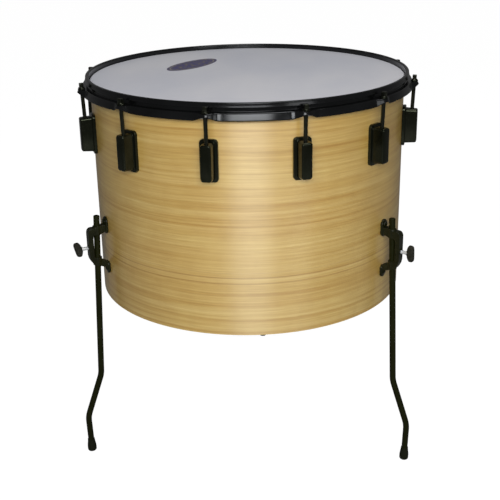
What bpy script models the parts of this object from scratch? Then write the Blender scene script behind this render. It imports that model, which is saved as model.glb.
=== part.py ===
# Timbal, a tall single-headed hand drum on three legs
#
# Height Z = 0 is the top of the playing surface, on the axis of the shell.
# Every piece round the drum is modelled at a station empty whose local X
# points straight out from the axis, Y runs round the shell and Z is up.

import math

import bmesh
import bpy
from mathutils import Matrix, Vector

for item in list(bpy.data.objects):
    bpy.data.objects.remove(item, do_unlink=True)

# Small gap kept between pieces that touch
SEAT_GAP = 0.0003

# Shell, a plain plywood tube with a bevelled top edge
SHELL_RADIUS = 0.2530
SHELL_WALL = 0.0080
SHELL_HEIGHT = 0.3482
BEARING_PEAK_INSET = 0.0035
BEARING_INNER_DROP = 0.0045
BEARING_OUTER_DROP = 0.0030
SHELL_SEGMENTS = 60

# Drum head, a film with a collar crimped into the flesh hoop
FILM_THICKNESS = 0.0004
FILM_COLLAR_DROP = 0.0126
FILM_SHELL_GAP = 0.0004
FILM_LIP_WIDTH = 0.0032

# Flesh hoop, the channel that holds the rim of the film
FLESH_WIDTH = 0.0080
FLESH_HEIGHT = 0.0068
FLESH_FILM_GAP = 0.0003

# Counter hoop, pressed from sheet with three flanges and twelve ears
HOOP_SHEET = 0.0023
HOOP_RISE = 0.0071
HOOP_WALL_GAP = 0.0008
HOOP_LIP_WIDTH = 0.0055
HOOP_LIP_DROP = 0.0040
HOOP_SHOULDER_DROP = 0.0135
HOOP_SKIRT_OUT = 0.0128
HOOP_SKIRT_DROP = 0.0112
EAR_OUT = 0.0215
EAR_RIM_DROP = 0.0047
EAR_HALF_WIDTH = 0.0200
EAR_HOLE_RADIUS = 0.0038
EAR_HOLE_OUT = 0.0144

# Tension rods, turned steel with a square key head
ROD_COUNT = 12
ROD_FIRST_ANGLE = -8.0
ROD_RADIUS = 0.0030
ROD_HEAD_SQUARE = 0.0064
ROD_HEAD_HEIGHT = 0.0060
ROD_COLLAR_RADIUS = 0.0055
ROD_COLLAR_HEIGHT = 0.0022
ROD_TAIL = 0.0030
WASHER_RADIUS = 0.0062
WASHER_THICKNESS = 0.0013
ROD_CLEARANCE = 0.0004

# Lugs, hollow castings with a swivel nut inside
LUG_PLATE_WIDTH = 0.0270
LUG_PLATE_HEIGHT = 0.0625
LUG_PLATE_THICKNESS = 0.0046
LUG_PLATE_CORNER = 0.0055
LUG_PLATE_EDGE = 0.0010
LUG_BLOCK_WIDTH = 0.0172
LUG_BLOCK_HEIGHT = 0.0545
LUG_BLOCK_DEPTH = 0.0230
LUG_BLOCK_CORNER = 0.0040
LUG_BLOCK_EDGE = 0.0026
LUG_DRAFT = 0.0009
LUG_BELOW_HOOP = 0.0280
LUG_ROD_OUT = 0.0145
LUG_POCKET_WIDTH = 0.0104
LUG_POCKET_HEIGHT = 0.0300
LUG_POCKET_DEPTH = 0.0193
LUG_SCREW_SPACING = 0.0440
NUT_RADIUS = 0.0046
NUT_HEIGHT = 0.0200

# Screws and washers through the shell
SCREW_RADIUS = 0.0025
SCREW_HEAD_RADIUS = 0.0052
SCREW_HEAD_HEIGHT = 0.0028
SCREW_CLEARANCE = 0.0004
LUG_SCREW_BITE = 0.0085
BOLT_NUT_HEIGHT = 0.0040
BOLT_TAIL = 0.0022

# Legs, round bar with two bends
LEG_COUNT = 3
LEG_FIRST_ANGLE = -60.0
LEG_RADIUS = 0.0050
LEG_AXIS_OUT = 0.01835
LEG_SPLAY = 2.53
LEG_ABOVE_BRACKET = 0.0173
LEG_CROWN = 0.0014
LEG_STRAIGHT = 0.2800
LEG_KICK_LENGTH = 0.0800
LEG_KICK_ANGLE = 20.6
LEG_TIP_LENGTH = 0.0600
LEG_TIP_ANGLE = -1.8
LEG_BEND_RADIUS = 0.0450
LEG_SIDES = 8

# Rubber feet
FOOT_RADIUS = 0.0075
FOOT_NECK_RADIUS = 0.0059
FOOT_HEIGHT = 0.0225
FOOT_SOLE = 0.0060

# Leg brackets, one casting each
BRACKET_ABOVE_BOTTOM = 0.1310
BRACKET_HEIGHT = 0.0660
COLLAR_RADIUS = 0.0070
COLLAR_HEIGHT = 0.0145
LOWER_COLLAR_HEIGHT = 0.0140
LEG_CLEARANCE = 0.0004
ARCH_WIDTH = 0.0130
ARCH_OUT = 0.0328
ARCH_THICKNESS = 0.0068
ARCH_INSET = 0.0011
ARCH_TOP_DROP = 0.0030
ARCH_CORNER = 0.0056
ARCH_EDGE = 0.0013
WINDOW_HEIGHT = 0.0360
NECK_WIDTH = 0.0130
ARM_WIDTH = 0.0090
ARM_THICKNESS = 0.0100
EAR_PLATE_WIDTH = 0.0175
EAR_PLATE_THICKNESS = 0.0042
EAR_PLATE_EDGE = 0.0012
UPPER_EAR_HEIGHT = 0.0280
UPPER_EAR_ABOVE = 0.0132
LOWER_EAR_WIDTH = 0.0130
LOWER_EAR_HEIGHT = 0.0200
LOWER_EAR_BELOW = 0.0170
BRACKET_SCREW_INSET = 0.0080
LOWER_SCREW_INSET = 0.0095

# T screws that clamp the legs, each with its handle at its own turn
CLAMP_BELOW_TOP = 0.0352
CLAMP_RADIUS = 0.0028
CLAMP_BOSS_RADIUS = 0.0056
CLAMP_BOSS_RISE = 0.0012
CLAMP_SHOWS = 0.0085
CLAMP_COLLAR_RADIUS = 0.0040
CLAMP_COLLAR_LENGTH = 0.0016
HANDLE_LENGTH = 0.0275
HANDLE_THICKNESS = 0.0086
HANDLE_DEPTH = 0.0106
HANDLE_BORE_DEPTH = 0.0074
HANDLE_TURNS = (60.0, 4.0, 25.0)

# Sizes that follow from the ones above
shell_top = -FILM_THICKNESS - SEAT_GAP
shell_bottom = shell_top - SHELL_HEIGHT
shell_inner = SHELL_RADIUS - SHELL_WALL
film_inner = SHELL_RADIUS + FILM_SHELL_GAP
film_outer = film_inner + FILM_THICKNESS
hoop_inner = film_outer + HOOP_WALL_GAP
hoop_top = HOOP_RISE
shoulder_top = hoop_top - HOOP_SHOULDER_DROP
shoulder_under = shoulder_top - HOOP_SHEET
flesh_top = shoulder_under - SEAT_GAP
flesh_bottom = flesh_top - FLESH_HEIGHT
flesh_inner = film_outer + FLESH_FILM_GAP
skirt_bottom = shoulder_top - HOOP_SKIRT_DROP
ear_hole_at = hoop_inner + EAR_HOLE_OUT
lug_rod_at = SHELL_RADIUS + LUG_ROD_OUT
lug_top = skirt_bottom - LUG_BELOW_HOOP
lug_block_top = lug_top - 0.5 * (LUG_PLATE_HEIGHT - LUG_BLOCK_HEIGHT)
lug_middle = lug_top - 0.5 * LUG_PLATE_HEIGHT
rod_lean = math.atan((ear_hole_at - lug_rod_at) / (shoulder_top - lug_block_top))
rod_angles = [ROD_FIRST_ANGLE + 360.0 / ROD_COUNT * i for i in range(ROD_COUNT)]
leg_angles = [LEG_FIRST_ANGLE + 360.0 / LEG_COUNT * i for i in range(LEG_COUNT)]
bracket_top = shell_bottom + BRACKET_ABOVE_BOTTOM
bracket_bottom = bracket_top - BRACKET_HEIGHT
clamp_z = bracket_top - CLAMP_BELOW_TOP
splay = math.radians(LEG_SPLAY)
facet_start = math.radians(0.5 * (ROD_FIRST_ANGLE + LEG_FIRST_ANGLE) - 90.0)


def paint(name, colour, roughness, metallic):
    """Make a plain Principled material."""
    made = bpy.data.materials.new(name)
    made.use_nodes = True
    shader = made.node_tree.nodes["Principled BSDF"]
    shader.inputs["Base Color"].default_value = (*colour, 1.0)
    shader.inputs["Roughness"].default_value = roughness
    shader.inputs["Metallic"].default_value = metallic
    made.diffuse_color = (*colour, 1.0)
    return made


def add_object(name, mesh, material=None, parent=None, place=None, smooth=30.0):
    """Link an object, give it its material and shade its round faces smooth."""
    made = bpy.data.objects.new(name, mesh)
    bpy.context.scene.collection.objects.link(made)
    if material is not None and not mesh.materials:
        mesh.materials.append(material)
    if parent is not None:
        made.parent = parent
    if place is not None:
        made.matrix_local = place
    if smooth:
        mesh.shade_smooth()
        mesh.set_sharp_from_angle(angle=math.radians(smooth))
    return made


def as_mesh(name, bm):
    """Turn a bmesh into a mesh with its faces pointing out."""
    bmesh.ops.recalc_face_normals(bm, faces=bm.faces)
    mesh = bpy.data.meshes.new(name)
    bm.to_mesh(mesh)
    bm.free()
    return mesh


def turned(name, profile, segments, start=0.0):
    """Spin a closed profile of radius and height points round Z."""
    bm = bmesh.new()
    verts = [bm.verts.new((r * math.cos(start), r * math.sin(start), z)) for r, z in profile]
    edges = [bm.edges.new((verts[i], verts[(i + 1) % len(verts)])) for i in range(len(verts))]
    bmesh.ops.spin(bm, geom=verts + edges, cent=(0, 0, 0), axis=(0, 0, 1),
                   angle=2.0 * math.pi, steps=segments, use_duplicate=False)
    bmesh.ops.remove_doubles(bm, verts=bm.verts, dist=0.000005)
    bmesh.ops.dissolve_degenerate(bm, edges=bm.edges, dist=0.000005)
    loose = [edge for edge in bm.edges if not edge.link_faces]
    bmesh.ops.delete(bm, geom=loose, context="EDGES")
    return as_mesh(name, bm)


def rod_between(name, radius, low, high, sides, start=0.0):
    """Make a closed cylinder along Z."""
    return turned(name, [(0.0, low), (radius, low), (radius, high), (0.0, high)], sides, start)


def rounded_outline(width, height, corner, steps):
    """Points of a rounded rectangle round the origin."""
    points = []
    for k, (sy, sz) in enumerate(((1, 1), (-1, 1), (-1, -1), (1, -1))):
        for i in range(steps + 1):
            turn = math.radians(90.0 * k + 90.0 * i / steps)
            points.append((sy * (0.5 * width - corner) + corner * math.cos(turn),
                           sz * (0.5 * height - corner) + corner * math.sin(turn)))
    return points


def lofted(name, rings):
    """Skin a stack of rings with equal point counts and cap both ends."""
    bm = bmesh.new()
    made = [[bm.verts.new(point) for point in ring] for ring in rings]
    count = len(made[0])
    for low, high in zip(made, made[1:]):
        for i in range(count):
            j = (i + 1) % count
            bm.faces.new((low[i], low[j], high[j], high[i]))
    bm.faces.new(list(reversed(made[0])))
    bm.faces.new(made[-1])
    return as_mesh(name, bm)


def plate_rings(outlines):
    """Stand flat outlines up at their distances along X."""
    return [[(x, y, z) for y, z in outline] for x, outline in outlines]


def extruded(name, outline, half_width, edge):
    """Extrude a side outline in X and Z across Y and round its long edges."""
    bm = bmesh.new()
    verts = [bm.verts.new((x, -half_width, z)) for x, z in outline]
    face = bm.faces.new(verts)
    out = bmesh.ops.extrude_face_region(bm, geom=[face])
    moved = [item for item in out["geom"] if isinstance(item, bmesh.types.BMVert)]
    bmesh.ops.translate(bm, verts=moved, vec=(0.0, 2.0 * half_width, 0.0))
    if edge > 0.0:
        sides = []
        for item in bm.edges:
            ys = [vert.co.y for vert in item.verts]
            if abs(ys[0] - ys[1]) < 0.5 * half_width:
                sides.append(item)
        bmesh.ops.bevel(bm, geom=sides, offset=edge, segments=1, profile=0.5, affect="EDGES")
    return as_mesh(name, bm)


def swept(name, path, radii, sides):
    """Sweep a circle of changing radius along a path that lies in the XZ plane."""
    rings = []
    last = len(path) - 1
    for i, point in enumerate(path):
        before = path[max(i - 1, 0)]
        after = path[min(i + 1, last)]
        along = (after - before).normalized()
        side = Vector((0.0, 1.0, 0.0))
        up = along.cross(side)
        ring = []
        for k in range(sides):
            turn = 2.0 * math.pi * (k + 0.5) / sides
            ring.append(point + (side * math.cos(turn) + up * math.sin(turn)) * radii[i])
        rings.append(ring)
    return lofted(name, rings)


def evaluated(made):
    """Give an object the mesh that its modifiers make, and drop them."""
    graph = bpy.context.evaluated_depsgraph_get()
    graph.update()
    mesh = bpy.data.meshes.new_from_object(made.evaluated_get(graph))
    made.modifiers.clear()
    made.data = mesh
    return mesh


def combine(base, tools, operation):
    """Union tools with the base, or cut them from it, one at a time."""
    for tool in tools:
        step = base.modifiers.new(operation.title(), "BOOLEAN")
        step.operation = operation
        step.solver = "EXACT"
        step.object = tool
    mesh = evaluated(base)
    for tool in tools:
        bpy.data.objects.remove(tool, do_unlink=True)
    bm = bmesh.new()
    bm.from_mesh(mesh)
    bmesh.ops.remove_doubles(bm, verts=bm.verts, dist=0.000005)
    bmesh.ops.dissolve_degenerate(bm, edges=bm.edges, dist=0.000005)
    bm.to_mesh(mesh)
    bm.free()
    return mesh


def helper(mesh, place=None):
    """Link a mesh that only takes part in a union or a cut."""
    return add_object(mesh.name, mesh, None, None, place, smooth=None)


def station(name, degrees):
    """Add an empty on the drum axis whose X points out at this angle from the front."""
    made = bpy.data.objects.new(name, None)
    bpy.context.scene.collection.objects.link(made)
    made.empty_display_size = 0.02
    made.matrix_world = Matrix.Rotation(math.radians(degrees - 90.0), 4, "Z")
    return made


def radial(out, height, turn=0.0):
    """Placement whose local Z points straight out of the shell."""
    tilt = Matrix.Rotation(math.radians(90.0), 4, "Y")
    return Matrix.Translation((out, 0.0, height)) @ tilt @ Matrix.Rotation(turn, 4, "Z")


wood = paint("shell_wood", (0.72, 0.53, 0.29), 0.42, 0.0)
film = paint("head_film", (0.66, 0.67, 0.72), 0.38, 0.0)
cast_metal = paint("channel_aluminium", (0.60, 0.60, 0.60), 0.35, 1.0)
black_nickel = paint("black_nickel", (0.055, 0.058, 0.050), 0.22, 1.0)
steel = paint("bright_steel", (0.62, 0.62, 0.60), 0.22, 1.0)
bracket_black = paint("bracket_black", (0.018, 0.019, 0.017), 0.32, 0.4)
leg_black = paint("leg_black", (0.016, 0.016, 0.012), 0.35, 0.6)
rubber = paint("foot_rubber", (0.018, 0.018, 0.018), 0.75, 0.0)
grip = paint("handle_grip", (0.085, 0.085, 0.085), 0.70, 0.0)

# Stations of the rods and lugs, and of the legs
lug_stations = []
for i, degrees in enumerate(rod_angles):
    lug_stations.append(station("lug_station_%02d" % (i + 1), degrees))
leg_stations = []
for i, degrees in enumerate(leg_angles):
    leg_stations.append(station("leg_station_%d" % (i + 1), degrees))

# Shell with a double bevel on its top edge
bearing_at = SHELL_RADIUS - BEARING_PEAK_INSET
bevel_r = SHELL_RADIUS - 0.30 * BEARING_PEAK_INSET
bevel_z = shell_top - 0.35 * BEARING_OUTER_DROP
shell_profile = [
    (shell_inner, shell_bottom),
    (SHELL_RADIUS, shell_bottom),
    (SHELL_RADIUS, shell_top - BEARING_OUTER_DROP),
    (bevel_r, bevel_z),
    (bearing_at, shell_top),
    (shell_inner, shell_top - BEARING_INNER_DROP),
]
shell = add_object("shell", turned("shell", shell_profile, SHELL_SEGMENTS, facet_start), wood)

screw_heights = (lug_middle + 0.5 * LUG_SCREW_SPACING, lug_middle - 0.5 * LUG_SCREW_SPACING)
upper_screw_z = bracket_top + UPPER_EAR_ABOVE - BRACKET_SCREW_INSET
lower_screw_z = bracket_bottom - LOWER_EAR_BELOW + LOWER_SCREW_INSET
hole_radius = SCREW_RADIUS + SCREW_CLEARANCE
drills = []
for empty, heights in ([(item, screw_heights) for item in lug_stations]
                       + [(item, (upper_screw_z, lower_screw_z)) for item in leg_stations]):
    for height in heights:
        drill = rod_between("drill", hole_radius, -SHELL_WALL, SHELL_WALL, 6)
        drills.append(helper(drill, empty.matrix_world @ radial(SHELL_RADIUS - 0.5 * SHELL_WALL, height)))
combine(shell, drills, "DIFFERENCE")
shell.data.shade_smooth()
shell.data.set_sharp_from_angle(angle=math.radians(30.0))

# Drum head, flat across the shell, rolled over its edge and turned out into the flesh hoop
collar_bottom = -FILM_COLLAR_DROP
ease = 0.9 * FILM_SHELL_GAP
turn_out = 0.7 * FILM_THICKNESS
roll_low = shell_top - BEARING_OUTER_DROP + 0.5 * FILM_SHELL_GAP
head_profile = [
    (0.0, 0.0),
    (bearing_at, 0.0),
    (bevel_r + ease + turn_out, bevel_z + ease + turn_out),
    (film_outer, roll_low + 0.5 * FILM_THICKNESS),
    (film_outer, collar_bottom + FILM_THICKNESS),
    (film_outer + FILM_LIP_WIDTH, collar_bottom + FILM_THICKNESS),
    (film_outer + FILM_LIP_WIDTH, collar_bottom),
    (film_inner, collar_bottom),
    (film_inner, roll_low),
    (bevel_r + ease, bevel_z + ease),
    (bearing_at, -FILM_THICKNESS),
    (0.0, -FILM_THICKNESS),
]
head = add_object("drum_head", turned("drum_head", head_profile, SHELL_SEGMENTS, facet_start), film)

# Flesh hoop, a channel whose groove takes the lip of the film
groove_low = collar_bottom - SEAT_GAP
groove_high = collar_bottom + FILM_THICKNESS + SEAT_GAP
groove_deep = film_outer + FILM_LIP_WIDTH + SEAT_GAP
flesh_outer = flesh_inner + FLESH_WIDTH
flesh_profile = [
    (flesh_inner, flesh_bottom),
    (flesh_outer, flesh_bottom),
    (flesh_outer, flesh_top),
    (flesh_inner, flesh_top),
    (flesh_inner, groove_high),
    (groove_deep, groove_high),
    (groove_deep, groove_low),
    (flesh_inner, groove_low),
]
flesh_mesh = turned("flesh_hoop", flesh_profile, SHELL_SEGMENTS, facet_start)
add_object("flesh_hoop", flesh_mesh, cast_metal)


def hoop_section(blend):
    """Section of the counter hoop, from plain skirt at 0 to full ear at 1."""
    wall_out = hoop_inner + HOOP_SHEET
    lip_out = hoop_inner + HOOP_LIP_WIDTH
    fillet = 0.4 * HOOP_SHEET
    skirt_out = hoop_inner + HOOP_SKIRT_OUT + (EAR_OUT - HOOP_SKIRT_OUT) * blend
    drop = HOOP_SKIRT_DROP + (EAR_RIM_DROP - HOOP_SKIRT_DROP) * blend
    low = shoulder_top - drop
    bend = 0.75 * HOOP_SHEET
    return [
        (hoop_inner, hoop_top - 0.55 * HOOP_SHEET),
        (hoop_inner + 0.55 * HOOP_SHEET, hoop_top),
        (lip_out - 0.55 * HOOP_SHEET, hoop_top),
        (lip_out, hoop_top - 0.55 * HOOP_SHEET),
        (lip_out - 0.2 * HOOP_SHEET, hoop_top - HOOP_LIP_DROP),
        (wall_out, hoop_top - 0.75 * HOOP_LIP_DROP),
        (wall_out, shoulder_top + fillet),
        (wall_out + fillet, shoulder_top),
        (skirt_out - bend, shoulder_top),
        (skirt_out, shoulder_top - bend),
        (skirt_out, low),
        (skirt_out - HOOP_SHEET, low),
        (skirt_out - HOOP_SHEET, shoulder_under),
        (hoop_inner, shoulder_under),
    ]


# Counter hoop, lofted round the drum so that its skirt swells into an ear at each rod
pitch = 360.0 / ROD_COUNT
ear_half_angle = math.degrees(EAR_HALF_WIDTH / (hoop_inner + HOOP_SKIRT_OUT))
steps_in_ear = 6
steps_between = 3
offsets = [-ear_half_angle + 2.0 * ear_half_angle * k / steps_in_ear for k in range(steps_in_ear)]
plain = pitch - 2.0 * ear_half_angle
offsets += [ear_half_angle + plain * k / steps_between for k in range(steps_between)]
hoop_bm = bmesh.new()
hoop_rings = []
for centre in rod_angles:
    for offset in offsets:
        blend = 0.0
        if abs(offset) < ear_half_angle:
            blend = 0.5 + 0.5 * math.cos(math.pi * offset / ear_half_angle)
            blend = blend ** 0.8
        turn = math.radians(centre + offset)
        hoop_rings.append([hoop_bm.verts.new((r * math.sin(turn), -r * math.cos(turn), z))
                           for r, z in hoop_section(blend)])
for ring, following in zip(hoop_rings, hoop_rings[1:] + hoop_rings[:1]):
    for k in range(len(ring)):
        n = (k + 1) % len(ring)
        hoop_bm.faces.new((ring[k], ring[n], following[n], following[k]))
hoop = add_object("counter_hoop", as_mesh("counter_hoop", hoop_bm), black_nickel)
punches = []
for empty in lug_stations:
    punch = rod_between("punch", EAR_HOLE_RADIUS, -4.0 * HOOP_SHEET, HOOP_SHEET, 8, math.pi / 8.0)
    place = Matrix.Translation((ear_hole_at, 0.0, shoulder_top))
    punches.append(helper(punch, empty.matrix_world @ place))
combine(hoop, punches, "DIFFERENCE")
hoop.data.shade_smooth()
hoop.data.set_sharp_from_angle(angle=math.radians(35.0))

# Tension rods. Each rod's frame sits where its axis meets the ear and leans out with it.
washer_low = SEAT_GAP + WASHER_RADIUS * math.sin(rod_lean)
collar_low = washer_low + WASHER_THICKNESS
collar_high = collar_low + ROD_COLLAR_HEIGHT
head_high = collar_high + ROD_HEAD_HEIGHT
pocket_top = lug_middle + 0.5 * LUG_POCKET_HEIGHT
nut_top = (pocket_top - shoulder_top) / math.cos(rod_lean) - SEAT_GAP - NUT_RADIUS * math.sin(rod_lean)
nut_bottom = nut_top - NUT_HEIGHT
rod_bottom = nut_bottom - ROD_TAIL
rod_profile = [
    (0.0, rod_bottom),
    (ROD_RADIUS, rod_bottom),
    (ROD_RADIUS, washer_low),
    (WASHER_RADIUS, washer_low),
    (WASHER_RADIUS, collar_low),
    (ROD_COLLAR_RADIUS, collar_low),
    (ROD_COLLAR_RADIUS, collar_low + 0.6 * ROD_COLLAR_HEIGHT),
    (0.5 * ROD_HEAD_SQUARE, collar_high),
    (0.0, collar_high),
]
rod_shape = helper(turned("rod_shape", rod_profile, 8, math.pi / 8.0))
half = 0.5 * ROD_HEAD_SQUARE
square = [(half, half), (-half, half), (-half, -half), (half, -half)]
small = [(0.72 * x, 0.72 * y) for x, y in square]
square_rings = [
    [(x, y, collar_high - 0.4 * ROD_COLLAR_HEIGHT) for x, y in square],
    [(x, y, head_high - 0.15 * ROD_HEAD_HEIGHT) for x, y in square],
    [(x, y, head_high) for x, y in small],
]
rod_mesh = combine(rod_shape, [helper(lofted("key_head", square_rings))], "UNION")
bpy.data.objects.remove(rod_shape, do_unlink=True)
lean = Matrix.Rotation(rod_lean, 4, "Y")
rod_frame = Matrix.Translation((ear_hole_at, 0.0, shoulder_top)) @ lean
for i, empty in enumerate(lug_stations):
    add_object("tension_rod_%02d" % (i + 1), rod_mesh, steel, empty, rod_frame)


def ring_mesh(name, inner, outer, low, high, sides):
    """Make a flat washer round Z."""
    profile = [(inner, low), (outer, low), (outer, high), (inner, high)]
    return turned(name, profile, sides, math.pi / sides)


# Swivel nuts in the lugs, one on each rod
bore = ROD_RADIUS + ROD_CLEARANCE
nut_mesh = ring_mesh("swivel_nut", bore / math.cos(math.pi / 6.0), NUT_RADIUS, nut_bottom, nut_top, 6)
for i, empty in enumerate(lug_stations):
    add_object("swivel_nut_%02d" % (i + 1), nut_mesh, steel, empty, rod_frame)

# Lugs. The casting is a rounded plate with a block on it, hollow behind, and its two
# screws, which come through the shell from inside, are drawn as one with it.
lug_back = SHELL_RADIUS + SEAT_GAP
plate_out = rounded_outline(LUG_PLATE_WIDTH, LUG_PLATE_HEIGHT, LUG_PLATE_CORNER, 2)
plate_in = rounded_outline(LUG_PLATE_WIDTH - 2.0 * LUG_PLATE_EDGE, LUG_PLATE_HEIGHT - 2.0 * LUG_PLATE_EDGE,
                           LUG_PLATE_CORNER - LUG_PLATE_EDGE, 2)
block_low = rounded_outline(LUG_BLOCK_WIDTH + LUG_DRAFT, LUG_BLOCK_HEIGHT + LUG_DRAFT,
                            LUG_BLOCK_CORNER, 2)
block_high = rounded_outline(LUG_BLOCK_WIDTH - LUG_DRAFT, LUG_BLOCK_HEIGHT - LUG_DRAFT,
                             LUG_BLOCK_CORNER, 2)
block_top = rounded_outline(LUG_BLOCK_WIDTH - 2.0 * LUG_BLOCK_EDGE, LUG_BLOCK_HEIGHT - 2.0 * LUG_BLOCK_EDGE,
                            0.5 * LUG_BLOCK_CORNER, 2)
lug_rings = plate_rings([
    (0.0, plate_out),
    (LUG_PLATE_THICKNESS - LUG_PLATE_EDGE, plate_out),
    (LUG_PLATE_THICKNESS, plate_in),
    (LUG_PLATE_THICKNESS, block_low),
    (LUG_BLOCK_DEPTH - LUG_BLOCK_EDGE, block_high),
    (LUG_BLOCK_DEPTH, block_top),
])
lug_shape = helper(lofted("lug_shape", lug_rings))
half_y = 0.5 * LUG_POCKET_WIDTH
half_z = 0.5 * LUG_POCKET_HEIGHT
pocket = [(half_y, half_z), (-half_y, half_z), (-half_y, -half_z), (half_y, -half_z)]
pocket_rings = plate_rings([(-0.5 * LUG_PLATE_THICKNESS, pocket), (LUG_POCKET_DEPTH, pocket)])
lug_cuts = [helper(lofted("pocket", pocket_rings))]
channel = rod_between("rod_channel", bore + ROD_CLEARANCE, nut_top - ROD_RADIUS, 0.0, 8, math.pi / 8.0)
to_lug = Matrix.Translation((-lug_back, 0.0, -lug_middle))
lug_cuts.append(helper(channel, to_lug @ rod_frame))
combine(lug_shape, lug_cuts, "DIFFERENCE")
head_seat = shell_inner * math.cos(math.pi / SHELL_SEGMENTS) - SEAT_GAP
head_seat -= SCREW_HEAD_RADIUS ** 2 / (2.0 * shell_inner)
screw_profile = [
    (0.0, -SCREW_HEAD_HEIGHT),
    (0.8 * SCREW_HEAD_RADIUS, -SCREW_HEAD_HEIGHT),
    (SCREW_HEAD_RADIUS, 0.0),
    (SCREW_RADIUS, 0.0),
    (SCREW_RADIUS, lug_back + LUG_SCREW_BITE - head_seat),
    (0.0, lug_back + LUG_SCREW_BITE - head_seat),
]
screws = []
for side in (0.5, -0.5):
    screw = turned("lug_screw", screw_profile, 6)
    screws.append(helper(screw, radial(head_seat - lug_back, side * LUG_SCREW_SPACING)))
lug_mesh = combine(lug_shape, screws, "UNION")
bpy.data.objects.remove(lug_shape, do_unlink=True)
lug_place = Matrix.Translation((lug_back, 0.0, lug_middle))
for i, empty in enumerate(lug_stations):
    add_object("lug_%02d" % (i + 1), lug_mesh, black_nickel, empty, lug_place)

# Leg brackets. Two collars carry the leg, an arch joins them and two ears reach the shell.
# The bolts through the ears, with their nuts inside the shell, are drawn as one with the casting.
leg_foot_slope = math.tan(splay)
collar_axis = SHELL_RADIUS + LEG_AXIS_OUT
leg_axis_at_clamp = collar_axis
bracket_back = SHELL_RADIUS + SEAT_GAP


def leg_out(height):
    """Distance of the leg's upper axis from the drum axis at a height."""
    return leg_axis_at_clamp + (clamp_z - height) * leg_foot_slope


arch_outer = SHELL_RADIUS + ARCH_OUT
arch_inner = arch_outer - ARCH_THICKNESS
arch_top = bracket_top - ARCH_TOP_DROP
arch_bottom = bracket_bottom + ARCH_INSET
lower_start = bracket_bottom + LOWER_COLLAR_HEIGHT
window_high = bracket_top - COLLAR_HEIGHT + ARCH_INSET
window_low = window_high - WINDOW_HEIGHT
window_end = lower_start - ARCH_INSET
leg_bore = LEG_RADIUS + LEG_CLEARANCE
arch_outline = [
    (leg_out(arch_top), arch_top),
    (arch_outer - ARCH_CORNER, arch_top),
    (arch_outer - 0.29 * ARCH_CORNER, arch_top - 0.29 * ARCH_CORNER),
    (arch_outer, arch_top - ARCH_CORNER),
    (arch_outer, window_low - 0.3 * ARCH_CORNER),
    (arch_outer - 0.25 * ARCH_CORNER, window_low - ARCH_CORNER),
    (leg_out(arch_bottom) + leg_bore, arch_bottom),
    (leg_out(arch_bottom), arch_bottom),
    (leg_out(window_end), window_end),
    (leg_out(window_end) + leg_bore, window_end),
    (arch_inner, window_low),
    (arch_inner, window_high),
    (leg_out(window_high), window_high),
]
bracket = helper(extruded("bracket_shape", arch_outline, 0.5 * ARCH_WIDTH, ARCH_EDGE))
along_leg = Matrix.Rotation(math.pi - splay, 4, "Y")
upper_collar = Matrix.Translation((leg_out(bracket_top), 0.0, bracket_top)) @ along_leg
lower_collar = Matrix.Translation((leg_out(lower_start), 0.0, lower_start)) @ along_leg
neck_start = 0.25 * EAR_PLATE_THICKNESS
upper_ear_low = bracket_top + UPPER_EAR_ABOVE - UPPER_EAR_HEIGHT
upper_neck = [
    (neck_start, bracket_top - 0.4 * ARCH_INSET),
    (leg_out(bracket_top) - bracket_back, bracket_top - ARCH_INSET),
    (leg_out(bracket_top) - bracket_back, bracket_top - COLLAR_HEIGHT + 1.5 * ARCH_INSET),
    (neck_start, upper_ear_low + 1.3 * ARCH_INSET),
]
lower_ear_low = bracket_bottom - LOWER_EAR_BELOW
lower_ear_high = lower_ear_low + LOWER_EAR_HEIGHT
lower_neck = [
    (neck_start, lower_ear_high - ARCH_INSET),
    (leg_out(lower_start) - bracket_back, lower_start - 2.5 * ARCH_INSET),
    (leg_out(bracket_bottom) - bracket_back, bracket_bottom + 0.5 * ARCH_INSET),
    (neck_start, lower_ear_high - ARM_THICKNESS),
]
upper_ear = rounded_outline(EAR_PLATE_WIDTH, UPPER_EAR_HEIGHT, 0.49 * EAR_PLATE_WIDTH, 3)
upper_ear_face = rounded_outline(EAR_PLATE_WIDTH - 2.0 * EAR_PLATE_EDGE, UPPER_EAR_HEIGHT - 2.0 * EAR_PLATE_EDGE,
                                 0.49 * EAR_PLATE_WIDTH - EAR_PLATE_EDGE, 3)
lower_ear = rounded_outline(LOWER_EAR_WIDTH, LOWER_EAR_HEIGHT, 0.49 * LOWER_EAR_WIDTH, 3)
lower_ear_face = rounded_outline(LOWER_EAR_WIDTH - 2.0 * EAR_PLATE_EDGE, LOWER_EAR_HEIGHT - 2.0 * EAR_PLATE_EDGE,
                                 0.49 * LOWER_EAR_WIDTH - EAR_PLATE_EDGE, 3)
ear_depths = (0.0, EAR_PLATE_THICKNESS - EAR_PLATE_EDGE, EAR_PLATE_THICKNESS)
upper_centre = upper_ear_low + 0.5 * UPPER_EAR_HEIGHT
lower_centre = 0.5 * (lower_ear_low + lower_ear_high)
upper_shapes = zip(ear_depths, (upper_ear, upper_ear, upper_ear_face))
lower_shapes = zip(ear_depths, (lower_ear, lower_ear, lower_ear_face))
boss_start = arch_inner + 0.5 * ARCH_THICKNESS
boss_face = arch_outer + CLAMP_BOSS_RISE
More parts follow.
